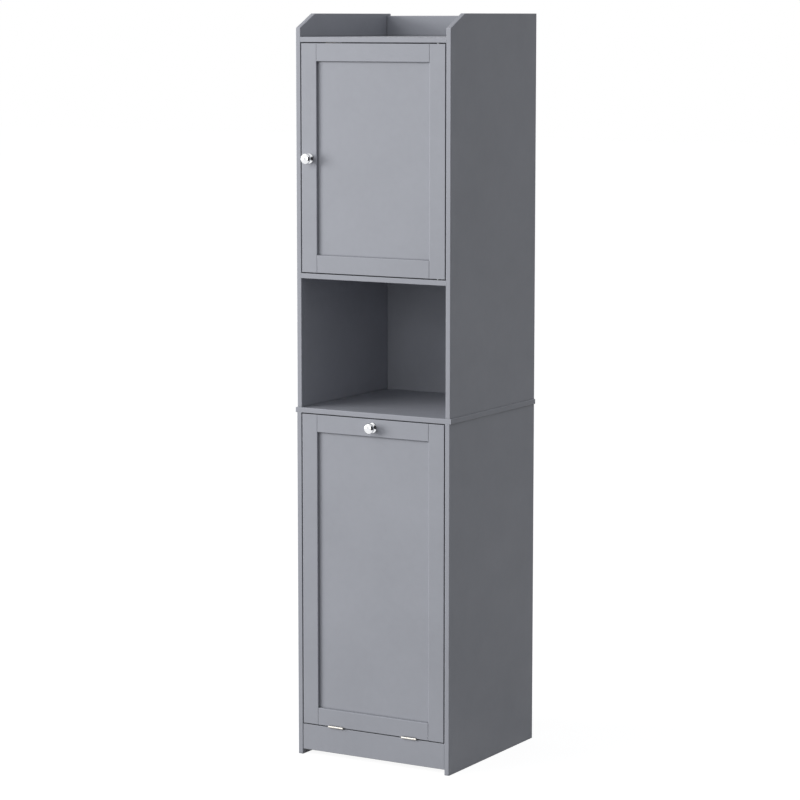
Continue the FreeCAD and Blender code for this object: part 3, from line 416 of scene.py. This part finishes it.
SCREW_SIDES = 40
CROSS_WIDTH = 0.24  # of an arm of the cross, as a share of its length
CROSS_TAPER = 0.55  # length at the bottom of the cross, as a share of that at the top
DOME_FALL = 60  # how fast a head's top falls away from its middle, per metre


def cross_cutter(name, cross, top, depth):
    """Two tapered bars across each other, from over the head's top down to depth."""
    cutter = bmesh.new()
    for turn in (0.0, math.pi / 2):
        bar = bmesh.ops.create_cube(cutter, size=1.0)["verts"]
        for v in bar:
            deep = v.co.z < 0
            length = cross * (CROSS_TAPER if deep else 1.0)
            v.co = Vector((v.co.x * length * MM, v.co.y * cross * CROSS_WIDTH * MM,
                           top - depth * MM if deep else top + 1 * MM))
        bmesh.ops.rotate(cutter, verts=bar, cent=(0, 0, 0), matrix=Matrix.Rotation(turn, 3, "Z"))
    mesh = bpy.data.meshes.new(name)
    cutter.to_mesh(mesh)
    cutter.free()
    return mesh


def is_recess(face, cross, top, depth):
    """True for the walls and the bottom of the cross, which lie under the domed top."""
    centre = face.center
    flat = abs(face.normal.z)
    near, far = sorted((abs(centre.x), abs(centre.y)))
    reach = cross * MM * 0.52
    in_cross = far < reach and near < reach * 0.3
    wall_or_bottom = flat < 0.5 or centre.z < top - depth * MM * 0.9
    dome = top - 0.02 * MM - (centre.x ** 2 + centre.y ** 2) * DOME_FALL
    under_dome = centre.z < dome
    return in_cross and wall_or_bottom and (under_dome or flat > 0.9) and centre.z > 0


def screw_template(name, head, cross, depth):
    """Mesh of a screw head on Z, cut with a tapered cross. The cut faces take a near-black metal look:
    painted shade in the recess.
    """
    points, faces = turned([(r * MM, h * MM) for r, h in head], SCREW_SIDES)
    mesh = bpy.data.meshes.new(name)
    mesh.from_pydata(points, [], [face[::-1] for face in faces])
    top = max(h for _, h in head) * MM
    solid = add_object(name, mesh)
    tool = add_object(name + "_cut", cross_cutter(name + "_cut", cross, top, depth))
    cut = solid.modifiers.new("cross", "BOOLEAN")
    cut.operation = "DIFFERENCE"
    cut.object = tool
    cut.solver = "EXACT"
    cut.use_self = True
    graph = bpy.context.evaluated_depsgraph_get()
    made = bpy.data.meshes.new_from_object(solid.evaluated_get(graph))
    bpy.data.objects.remove(solid)
    bpy.data.objects.remove(tool)
    made.materials.clear()
    made.materials.append(LOOKS["zinc_steel"])
    made.materials.append(RECESS_SHADE)
    # The cross-recess faces take the painted shade look.
    for face in made.polygons:
        if is_recess(face, cross, top, depth):
            face.material_index = 1
    made.polygons.foreach_set("use_smooth", [False] * len(made.polygons))
    return made


# Head profiles as (radius, height), all in mm.
PAN = screw_template(
    "pan_head",
    [(0, 0), (2.9, 0), (2.95, 0.5), (2.7, 1.0), (2.1, 1.4), (1.2, 1.62), (0, 1.7)],
    cross=3.2, depth=1.1)
TRUSS = screw_template(
    "truss_head",
    [(0, 0), (4.4, 0), (4.45, 0.4), (4.0, 1.0), (2.9, 1.6), (1.5, 1.9), (0, 2.0)],
    cross=4.2, depth=1.4)
SMALL = screw_template(
    "small_head",
    [(0, 0), (2.0, 0), (2.05, 0.3), (1.8, 0.7), (1.2, 0.95), (0, 1.1)],
    cross=2.2, depth=0.8)
FLUSH = screw_template(
    "flush_head",
    [(0, -0.3), (2.1, -0.3), (2.1, 0.05), (1.95, 0.08), (0, 0.08)],
    cross=2.4, depth=0.06)


def screw(name, template, place, facing, turn, body):
    """A screw head at a place in mm. turn is the angle, in radians, at which its cross came to rest."""
    piece = add_object(name, template)
    aim = Vector(facing).to_track_quat("Z", "Y").to_matrix().to_4x4()
    piece.matrix_world = Matrix.Translation(Vector(place) * MM) @ aim @ Matrix.Rotation(turn, 4, "Z")
    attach(piece, body)


def box_mm(node):
    low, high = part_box(node)
    return low / MM, high / MM


REAR, UP, DOWN = (0, 1, 0), (0, 0, 1), (0, 0, -1)

# Places in mm. The leaves of a hinge lie on the plinth and under the door.
LEAF_SCREW_STEP = 13.5
LEAF_SCREW_Y = -183.2
PLINTH_LEAF_TOP = 72.9
DOOR_LEAF_BASE = 73.1
BRACKET_SCREW_X, BRACKET_SCREW_Y = 168.0, -172.0
BRACKET_SCREW_HEIGHTS = (323.5, 340.5)
FRAME_SCREW_X, FRAME_SCREW_Y = 153.0, -171.0
FRAME_SCREW_HEIGHTS = (582.0, 612.0, 642.0)
STRIKE_SCREW_INSET = 4.0
CATCH_SCREW_INSET = 3.4

for side, sign in (("left", -1), ("right", 1)):
    low, high = box_mm("hinge_base_leaf_" + side)
    for i, step in enumerate((-LEAF_SCREW_STEP, LEAF_SCREW_STEP)):
        at = ((low.x + high.x) / 2 + step, LEAF_SCREW_Y)
        screw(f"hinge_base_screw_{side}_{i}", FLUSH, (*at, PLINTH_LEAF_TOP), UP, 0.5 + i, "cabinet")
        screw(f"hinge_door_screw_{side}_{i}", FLUSH, (*at, DOOR_LEAF_BASE), DOWN, 0.9 - i, "hamper_door")
    for i, height in enumerate(BRACKET_SCREW_HEIGHTS):
        at = (sign * BRACKET_SCREW_X, BRACKET_SCREW_Y, height)
        screw(f"stay_bracket_screw_{side}_{i}", PAN, at, REAR, 0.4 + 1.1 * i, "hamper_door")
    for i, height in enumerate(FRAME_SCREW_HEIGHTS):
        at = (sign * FRAME_SCREW_X, FRAME_SCREW_Y, height)
        screw(f"bag_frame_screw_{side}_{i}", PAN, at, REAR, 0.2 + 0.8 * i, "hamper_door")

for door, body, knob_board in (
    ("upper", "upper_door", "upper_stile_left"),
    ("hamper", "hamper_door", "hamper_rail_top"),
):
    low, high = box_mm(door + "_strike_plate")
    for i, x in enumerate((low.x + STRIKE_SCREW_INSET, high.x - STRIKE_SCREW_INSET)):
        at = (x, high.y, (low.z + high.z) / 2)
        screw(f"{door}_strike_screw_{i}", FLUSH, at, REAR, 0.3 + i, body)
    low, high = box_mm(door + "_catch")
    for i, x in enumerate((low.x + CATCH_SCREW_INSET, high.x - CATCH_SCREW_INSET)):
        at = (x, (low.y + high.y) / 2, low.z)
        screw(f"{door}_catch_screw_{i}", SMALL, at, DOWN, 0.7 * i, "cabinet")
    low, high = box_mm(door + "_knob")
    at = ((low.x + high.x) / 2, box_mm(knob_board)[1].y, (low.z + high.z) / 2)
    screw(f"{door}_knob_screw", TRUSS, at, REAR, 0.35, body)


# -------------------------------------------------------------- laundry bag

# The bag's plan is a rounded rectangle; its wall hangs from the rim to a rounded base.
HALF_X, HALF_Y, CORNER = 156.3 * MM, 124.3 * MM, 27.0 * MM
BAG_Y = -33.5 * MM
FLOOR_Z, RIM_Z = 97.5 * MM, 711.0 * MM
WALL_FOOT_Z = FLOOR_Z + 9 * MM
WALL_HEIGHT = RIM_Z - WALL_FOOT_Z
SPAN_X, SPAN_Y = 2 * (HALF_X - CORNER), 2 * (HALF_Y - CORNER)
QUARTER = math.pi / 2 * CORNER
GIRTH = 2 * (SPAN_X + SPAN_Y) + 4 * QUARTER


def on_wall(s, inset=0.0):
    """Point and outward direction of the bag's plan at distance s along it, from the front left corner."""
    s %= GIRTH
    corners = [(1, -1), (1, 1), (-1, 1), (-1, -1)]
    for n, span in enumerate((SPAN_X, SPAN_Y, SPAN_X, SPAN_Y)):
        heading = n * math.pi / 2
        out = Vector((math.sin(heading), -math.cos(heading), 0))
        along = Vector((math.cos(heading), math.sin(heading), 0))
        cx, cy = corners[n]
        centre = Vector((cx * (HALF_X - CORNER), cy * (HALF_Y - CORNER) + BAG_Y, 0))
        if s <= span:
            return centre + along * (s - span) + out * (CORNER - inset), out
        s -= span
        if s <= QUARTER:
            angle = s / CORNER
            out = out * math.cos(angle) + along * math.sin(angle)
            return centre + out * (CORNER - inset), out
        s -= QUARTER
    return centre, out


# Middle of each loop, as a distance along the plan, in the order front, right, rear, left.
LOOP_HALF = 20.0 * MM
LOOPS_X, LOOPS_Y = (-78.5, 78.5), (-62.5, 62.5)
LOOPS = []
for start, span, places in (
    (0.0, SPAN_X, LOOPS_X),
    (SPAN_X + QUARTER, SPAN_Y, LOOPS_Y),
    (SPAN_X + SPAN_Y + 2 * QUARTER, SPAN_X, LOOPS_X),
    (2 * SPAN_X + SPAN_Y + 3 * QUARTER, SPAN_Y, LOOPS_Y),
):
    LOOPS += [start + span / 2 + place * MM for place in places]


def slack(s):
    """0 beside a loop, 1 half way between two."""
    slack_reach = 45.0 * MM
    near = min(min((s - loop) % GIRTH, (loop - s) % GIRTH) for loop in LOOPS)
    free = min(1.0, max(0.0, near - LOOP_HALF) / slack_reach)
    return free ** 2 * (3 - 2 * free)


def wander(x, y, z, seed):
    """Smooth noise from -1 to 1; each seed gives a field of its own."""
    return noise.noise(Vector((x, y, z)) + Vector((seed, 0.37 * seed, 0)))


# What moves the wall out of its plan or into it, in mm, and how far it may go either way.
FOLD, CREASE, RIPPLE = 7.5, 4.6, 1.1
BELLY, WAIST, SHRINKAGE = 2.2, 3.0, 0.9
RIM_SLUMP, RIM_DROP = 2.6, 5.5
MOST_OUT, MOST_IN = 2.6, 14.0
DIMPLE, SAG = 1.6, 3.0  # of the base, in mm


def cloth_point(s, height):
    """The hanging wall at s, height 0 (base) to 1 (rim): folds fall from the loops and fade downwards."""
    angle = 2 * math.pi * s / GIRTH
    ring = Vector((math.cos(angle), math.sin(angle), 0))
    loose = slack(s)
    below = max(0.0, 1 - height)
    hold = 1 - math.exp(-below / 0.05)
    fold = 1.25 * wander(ring.x * 6.5, ring.y * 6.5, height * 0.9, 11.0)
    fold += 0.8 * wander(ring.x * 15, ring.y * 15, height * 1.5, 29.0)
    crease = wander(ring.x * 4, ring.y * 4, height * 9.0, 53.0)
    ripple = wander(ring.x * 30, ring.y * 30, height * 12.0, 71.0)
    swing = FOLD * fold * hold + CREASE * crease * below ** 0.7 * hold + RIPPLE * ripple * hold
    belly = BELLY * math.sin(math.pi * min(1.0, height / 0.55)) - WAIST * math.sin(math.pi * height) ** 2
    out = swing + belly - RIM_SLUMP * loose * height ** 6 - SHRINKAGE
    most = MOST_OUT if out > 0 else MOST_IN
    out = most * math.tanh(out / most)
    rim = RIM_Z - RIM_DROP * MM * loose
    point, direction = on_wall(s, -out * MM)
    return Vector((point.x, point.y, WALL_FOOT_Z + (rim - WALL_FOOT_Z) * height)), direction


def below_rim(s, depth):
    """The hanging wall at s, depth mm under the rim."""
    return cloth_point(s, 1 - depth * MM / WALL_HEIGHT)


def base_point(s, share):
    """The bag's base at share 0 (middle) to 1 (rim of the base). It sags to its middle and is dimpled."""
    edge, _ = on_wall(s, 6 * MM)
    flat = Vector((edge.x * share, BAG_Y + (edge.y - BAG_Y) * share, 0))
    dimple = wander(flat.x * 22, flat.y * 22, 0.0, 91.0)
    lift = DIMPLE * dimple * (1 - share ** 4) - SAG * math.cos(share * math.pi / 2)
    return Vector((flat.x, flat.y, FLOOR_Z + lift * MM))


def grid_piece(name, rows, across, down, close=True):
    """A cloth piece of quads over rows of points. across and down give the cloth map in metres."""
    count = len(rows[0])
    points = [p for row in rows for p in row]
    faces, uv = [], []
    for r in range(len(rows) - 1):
        for i in range(count if close else count - 1):
            j = (i + 1) % count
            faces.append((r * count + i, r * count + j, (r + 1) * count + j, (r + 1) * count + i))
            right = across[i + 1] if i + 1 < len(across) else across[i]
            uv += [(across[i], down[r]), (right, down[r]), (right, down[r + 1]), (across[i], down[r + 1])]
    return new_piece(name, points, faces, "hamper_door", "cotton", uv=uv)


def thicken(piece, thickness, rounded=False):
    """Gives a sheet its thickness, half to each side, and rounds its cut edges where asked."""
    shell = piece.modifiers.new("thickness", "SOLIDIFY")
    shell.thickness = thickness
    shell.offset = 0.0
    shell.use_even_offset = True
    if rounded:
        bevel = piece.modifiers.new("edge", "BEVEL")
        bevel.width = thickness * 0.3
        bevel.segments = 2
        bevel.limit_method = "ANGLE"


ROUND = 380
RISE = 150
AROUND = [GIRTH * i / ROUND for i in range(ROUND + 1)]

# The base's rows, as shares of its reach, and their map: metres from the wall's foot.
BASE_SHARES = (0.02, 0.15, 0.3, 0.45, 0.6, 0.72, 0.82, 0.9, 0.95, 0.98, 1.0)
BASE_MAP, EDGE_MAP = 0.16, 0.02
EDGE_ROWS = 4


def bag_rows():
    """Rows from the middle of the base out to its edge, round it and up the wall, and their map."""
    rows, down = [], []
    for share in BASE_SHARES:
        rows.append([base_point(s, share) for s in AROUND[:-1]])
        down.append(-BASE_MAP * (1 - share) - EDGE_MAP)
    for k in range(1, EDGE_ROWS):
        angle = k / EDGE_ROWS * math.pi / 2
        row = []
        for s in AROUND[:-1]:
            low, high = base_point(s, 1.0), cloth_point(s, 0.0)[0]
            mixed = low.lerp(high, math.sin(angle))
            mixed.z = low.z + (high.z - low.z) * (1 - math.cos(angle))
            row.append(mixed)
        rows.append(row)
        down.append(-EDGE_MAP * (1 - k / EDGE_ROWS))
    for k in range(RISE + 1):
        height = k / RISE
        rows.append([cloth_point(s, height)[0] for s in AROUND[:-1]])
        down.append((RIM_Z - FLOOR_Z) * height)
    return rows, down


def close_base(mesh, centre):
    """Fills the small hole in the middle of the base with a fan of triangles."""
    edit = bmesh.new()
    edit.from_mesh(mesh)
    edit.verts.ensure_lookup_table()
    first_ring = edit.verts[:ROUND]
    hub = edit.verts.new(centre)
    for i in range(ROUND):
        edit.faces.new((hub, first_ring[(i + 1) % ROUND], first_ring[i])).smooth = True
    edit.to_mesh(mesh)
    edit.free()


rows, down = bag_rows()
bag = grid_piece("cotton_bag", rows, AROUND, down)
close_base(bag.data, sum(rows[0], Vector()) / ROUND)
thicken(bag, 1.1 * MM)
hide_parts("laundry_bag")


def band(name, low, high, outward, thickness):
    """A strip of cloth laid on the wall, between two distances below the rim, in mm."""
    row_height = 1.5
    steps = max(4, int((high - low) / row_height))
    rows, down = [], []
    for k in range(steps + 1):
        row = []
        for s in AROUND[:-1]:
            point, direction = below_rim(s, high - (high - low) * k / steps)
            row.append(point + direction * outward * MM)
        rows.append(row)
        down.append(k * row_height * MM)
    thicken(grid_piece(name, rows, AROUND, down), thickness * MM, rounded=True)


band("bag_hem_inside", low=-0.2, high=24.0, outward=-0.95, thickness=0.9)
band("bag_hem_top", low=-0.9, high=0.5, outward=-0.35, thickness=2.3)


# Section of a loop in mm: (distance out of the wall, height). It runs from the inside of the wall, over the
# bar, down outside and back under the bar.
LOOP_PATH = [
    (-1.9, 681.0), (-1.9, 690.0), (-1.9, 700.0), (-1.8, 708.0), (-1.0, 711.6), (0.6, 712.9), (2.2, 713.1),
    (3.7, 712.7), (4.5, 711.2), (4.7, 708.0), (4.7, 702.0), (4.6, 697.6), (3.8, 695.6), (2.4, 694.9),
    (1.1, 694.2), (0.75, 692.0), (0.7, 688.0),
]
LOOP_STEPS = 4
LOOP_ACROSS = [-1.0, -0.93, -0.6, -0.2, 0.2, 0.6, 0.93, 1.0]  # as shares of half the width
LOOP_PUCKER = 0.22  # in mm


def make_loop(name, centre):
    path = smooth_line(LOOP_PATH, LOOP_STEPS)
    rows, down, length = [], [], 0.0
    for k, (out, z) in enumerate(path):
        row = []
        for w in LOOP_ACROSS:
            point, direction = on_wall(centre + w * LOOP_HALF)
            pucker = LOOP_PUCKER * wander(w * 2.0, z * 0.09, centre * 40, 5.0)
            row.append(Vector((point.x, point.y, z * MM)) + direction * (out + pucker) * MM)
        rows.append(row)
        if k:
            length += (path[k] - path[k - 1]).length * MM
        down.append(length)
    across = [(w + 1) * LOOP_HALF for w in LOOP_ACROSS]
    thicken(grid_piece(name, rows, across, down, close=False), 1.0 * MM, rounded=True)


for number, centre in enumerate(LOOPS):
    make_loop(f"bag_loop_{number}", centre)


class Stitches:
    """Short thread stitches, gathered into one mesh."""

    SIDES = 6
    # (place along the stitch, thickness, rise out of the cloth), in lengths and radii
    RINGS = ((0.0, 0.35, -0.6), (0.2, 1.0, 0.5), (0.8, 1.0, 0.5), (1.0, 0.35, -0.6))

    def __init__(self):
        self.points, self.faces = [], []

    def add(self, start, end, out, radius):
        along = (end - start).normalized()
        side = along.cross(out).normalized()
        first = len(self.points)
        for place, size, rise in self.RINGS:
            middle = start.lerp(end, place) + out * radius * rise
            for n in range(self.SIDES):
                angle = 2 * math.pi * n / self.SIDES
                spoke = side * math.cos(angle) + out * math.sin(angle)
                self.points.append(middle + spoke * radius * size)
        last = len(self.points) - self.SIDES
        for low in range(first, last, self.SIDES):
            high = low + self.SIDES
            for n in range(self.SIDES):
                m = (n + 1) % self.SIDES
                self.faces.append((low + n, low + m, high + m, high + n))
        self.faces.append(tuple(first + n for n in reversed(range(self.SIDES))))
        self.faces.append(tuple(last + n for n in range(self.SIDES)))

    def finish(self, name):
        new_piece(name, self.points, self.faces, "hamper_door", "cotton", THREAD)


# Stitch sizes in mm.
RIM_THREAD, LOOP_THREAD = 0.27, 0.3
RIM_PITCH, RIM_STITCH = 4.2, 2.9
RIM_ROW_DEPTH = 21.0


def sew_rim(stitches, side, lift):
    """A row of stitches round the wall under the rim; side 1 is outside, -1 inside."""
    count = int(GIRTH / (RIM_PITCH * MM))
    for i in range(count):
        s = GIRTH * i / count
        start, out = below_rim(s, RIM_ROW_DEPTH)
        end, _ = below_rim(s + RIM_STITCH * MM, RIM_ROW_DEPTH)
        face = out * side
        stitches.add(start + face * lift * MM, end + face * lift * MM, face, RIM_THREAD * MM)


def sew_loop(stitches, centre):
    """The box of stitches that holds a loop to the inside of the wall: two rows and two short sides."""
    half_row, pitch, stitch, upright = 17 * MM, 4 * MM, 2.8 * MM, 3 * MM
    inward, count = 2.45 * MM, 9
    for height in (683.5, 693.5):
        for i in range(count):
            s = centre - half_row + i * pitch
            start, out = on_wall(s)
            end, _ = on_wall(s + stitch)
            lift = -out * inward + Vector((0, 0, height * MM))
            stitches.add(start + lift, end + lift, -out, LOOP_THREAD * MM)
    for edge in (-half_row, half_row):
        point, out = on_wall(centre + edge)
        for height in (684.5, 688.9):
            low = point - out * inward + Vector((0, 0, height * MM))
            stitches.add(low, low + Vector((0, 0, upright)), -out, LOOP_THREAD * MM)


rim_stitches = Stitches()
sew_rim(rim_stitches, side=1, lift=0.6)
sew_rim(rim_stitches, side=-1, lift=1.45)
rim_stitches.finish("bag_hem_stitches")

loop_stitches = Stitches()
for centre in LOOPS:
    sew_loop(loop_stitches, centre)
loop_stitches.finish("bag_loop_stitches")

# A flat seam closes the wall in the middle of the rear side.
SEAM = SPAN_X + SPAN_Y + 2 * QUARTER + SPAN_X / 2
SEAM_ACROSS = [-5.0, -4.4, -1.5, 1.5, 4.4, 5.0]  # in mm
SEAM_ROWS = 160
SEAM_TOP = 0.965  # of the wall's height, under the hem
SEAM_LIFT, SEAM_STITCH_LIFT = 0.75 * MM, 1.35 * MM  # outward from the wall


def make_seam(name):
    rows, down = [], []
    for k in range(SEAM_ROWS + 1):
        height = k / SEAM_ROWS * SEAM_TOP
        row = []
        for w in SEAM_ACROSS:
            point, out = cloth_point(SEAM + w * MM, height)
            row.append(point + out * SEAM_LIFT)
        rows.append(row)
        down.append((RIM_Z - FLOOR_Z) * height)
    across = [w * MM for w in SEAM_ACROSS]
    thicken(grid_piece(name, rows, across, down, close=False), 0.9 * MM, rounded=True)


def sew_seam(stitches, edge):
    """A row of stitches up the seam. Its first, pitch and stitch are shares of the wall's height."""
    first, pitch, stitch, count = 0.004, 0.00695, 0.0047, 138
    for i in range(count):
        height = first + i * pitch
        start, out = cloth_point(SEAM + edge * MM, height)
        end, _ = cloth_point(SEAM + edge * MM, height + stitch)
        lift = out * SEAM_STITCH_LIFT
        stitches.add(start + lift, end + lift, out, RIM_THREAD * MM)


make_seam("bag_seam")
seam_stitches = Stitches()
for edge in (-3.4, 3.4):
    sew_seam(seam_stitches, edge)
seam_stitches.finish("bag_seam_stitches")


def make_piping(name):
    """A round cord sewn in where the wall meets the base."""
    sides, radius, sunk, rise = 8, 1.9 * MM, 1.2 * MM, 3.0 * MM
    rows, down = [], []
    for k in range(sides + 1):
        angle = 2 * math.pi * k / sides
        row = []
        for s in AROUND[:-1]:
            low, high = base_point(s, 1.0), cloth_point(s, 0.0)[0]
            _, out = on_wall(s)
            core = Vector((high.x, high.y, low.z + rise)) - out * sunk
            row.append(core + (out * math.cos(angle) + Vector((0, 0, math.sin(angle)))) * radius)
        rows.append(row)
        down.append(k * 1.4 * MM)
    grid_piece(name, rows, AROUND, down)


make_piping("bag_piping")


# -------------------------------------------------------------------- stage

FLOOR_HALF = 30  # metres from the middle to an edge
FLOOR_COLOUR = (0.20, 0.20, 0.20, 1)
FLOOR_GLOW = 0.925
AMBIENT_COLOUR = (0.95, 0.97, 1.0, 1)
AMBIENT_STRENGTH = 0.41
AIM = Vector((0, 0, 1.2))


def empty_tree(owner):
    owner.use_nodes = True
    owner.node_tree.nodes.clear()
    return owner.node_tree


def seen_ray(tree):
    """1 for rays that show the background: camera, glossy and transmission rays."""
    path = tree.nodes.new("ShaderNodeLightPath")
    total = path.outputs["Is Camera Ray"]
    for name in ("Is Glossy Ray", "Is Transmission Ray"):
        node = tree.nodes.new("ShaderNodeMath")
        node.operation = "MAXIMUM"
        tree.links.new(total, node.inputs[0])
        tree.links.new(path.outputs[name], node.inputs[1])
        total = node.outputs[0]
    return total


def floor_paper():
    """Matt paper whose glow is seen but lights nothing: white, with the object's shadow left on it."""
    paper = bpy.data.materials.new("floor_paper")
    tree = empty_tree(paper)
    output = tree.nodes.new("ShaderNodeOutputMaterial")
    matt = tree.nodes.new("ShaderNodeBsdfDiffuse")
    matt.inputs["Color"].default_value = FLOOR_COLOUR
    glow = tree.nodes.new("ShaderNodeEmission")
    both = tree.nodes.new("ShaderNodeAddShader")
    scale = tree.nodes.new("ShaderNodeMath")
    scale.operation = "MULTIPLY"
    scale.inputs[1].default_value = FLOOR_GLOW
    tree.links.new(seen_ray(tree), scale.inputs[0])
    tree.links.new(scale.outputs[0], glow.inputs["Strength"])
    tree.links.new(matt.outputs[0], both.inputs[0])
    tree.links.new(glow.outputs[0], both.inputs[1])
    tree.links.new(both.outputs[0], output.inputs["Surface"])
    return paper


def lay_floor():
    mesh = bpy.data.meshes.new("floor")
    corners = [(x * FLOOR_HALF, y * FLOOR_HALF, 0) for x, y in ((-1, -1), (1, -1), (1, 1), (-1, 1))]
    mesh.from_pydata(corners, [], [(0, 1, 2, 3)])
    mesh.materials.append(floor_paper())
    floor = add_object("floor", mesh)


def studio_world():
    """A dim even sky that lights the scene, seen as plain white."""
    world = bpy.data.worlds.new("studio")
    tree = empty_tree(world)
    output = tree.nodes.new("ShaderNodeOutputWorld")
    ambient = tree.nodes.new("ShaderNodeBackground")
    ambient.inputs["Color"].default_value = AMBIENT_COLOUR
    ambient.inputs["Strength"].default_value = AMBIENT_STRENGTH
    white = tree.nodes.new("ShaderNodeBackground")
    white.inputs["Color"].default_value = (1, 1, 1, 1)
    white.inputs["Strength"].default_value = 1.0
    choose = tree.nodes.new("ShaderNodeMixShader")
    tree.links.new(seen_ray(tree), choose.inputs[0])
    tree.links.new(ambient.outputs[0], choose.inputs[1])
    tree.links.new(white.outputs[0], choose.inputs[2])
    tree.links.new(choose.outputs[0], output.inputs["Surface"])
    return world


def area_light(name, azimuth, distance, height, size, power, colour):
    """A soft panel; azimuth is in degrees to the left of the front, distance along the floor."""
    angle = math.radians(azimuth)
    place = Vector((-math.sin(angle) * distance, -math.cos(angle) * distance, height))
    light = bpy.data.lights.new(name, "AREA")
    light.shape = "SQUARE"
    light.size = size
    light.energy = power
    light.color = colour
    lamp = add_object(name, light)
    aim = (AIM - place).to_track_quat("-Z", "Y").to_matrix().to_4x4()
    lamp.matrix_world = Matrix.Translation(place) @ aim


def flag(name, front, side, low, high):
    """A black card of the studio: only mirror-like reflections see it, as dark accents on the plating."""
    mesh = bpy.data.meshes.new(name)
    mesh.from_pydata([(*front, low), (*side, low), (*side, high), (*front, high)], [], [(0, 1, 2, 3)])
    black = bpy.data.materials.new(name + "_felt")
    black.use_nodes = True
    felt = black.node_tree.nodes["Principled BSDF"]
    felt.inputs["Base Color"].default_value = (0.02, 0.02, 0.022, 1)
    felt.inputs["Roughness"].default_value = 0.9
    mesh.materials.append(black)
    card = add_object(name, mesh)
    card.visible_camera = False
    card.visible_diffuse = False
    card.visible_shadow = False
    card.visible_transmission = False
    card.visible_volume_scatter = False


lay_floor()
bpy.context.scene.world = studio_world()
WARM, NEUTRAL, COOL = (1.0, 0.995, 0.99), (1.0, 1.0, 1.0), (0.97, 0.985, 1.0)
area_light("key", azimuth=58, distance=9.0, height=2.2, size=3.9, power=590, colour=WARM)
area_light("upper_fill", azimuth=34, distance=3.7, height=2.95, size=2.0, power=46, colour=NEUTRAL)
area_light("front_fill", azimuth=0, distance=2.9, height=1.5, size=1.4, power=8.5, colour=COOL)
flag("flag_right", front=(0.5, -1.9), side=(2.4, 0.3), low=0.15, high=2.3)

# The photo's view: eye height and azimuth as in the photo, place and lens fitted to its edges.
# Angles in degrees, lens in mm.
CAMERA_PLACE = (3.2814, -5.6458, 1.69)
CAMERA_DOWN = 7.608
CAMERA_AZIMUTH = 30.459
CAMERA_LENS = 128.73

camera = add_object("camera", bpy.data.cameras.new("camera"))
camera.location = CAMERA_PLACE
camera.rotation_euler = (math.radians(90 - CAMERA_DOWN), 0.0, math.radians(CAMERA_AZIMUTH))
camera.data.lens = CAMERA_LENS
camera.data.sensor_width = 36.0
camera.data.clip_end = 100.0
bpy.context.scene.camera = camera
bpy.context.scene.view_settings.view_transform = "Standard"
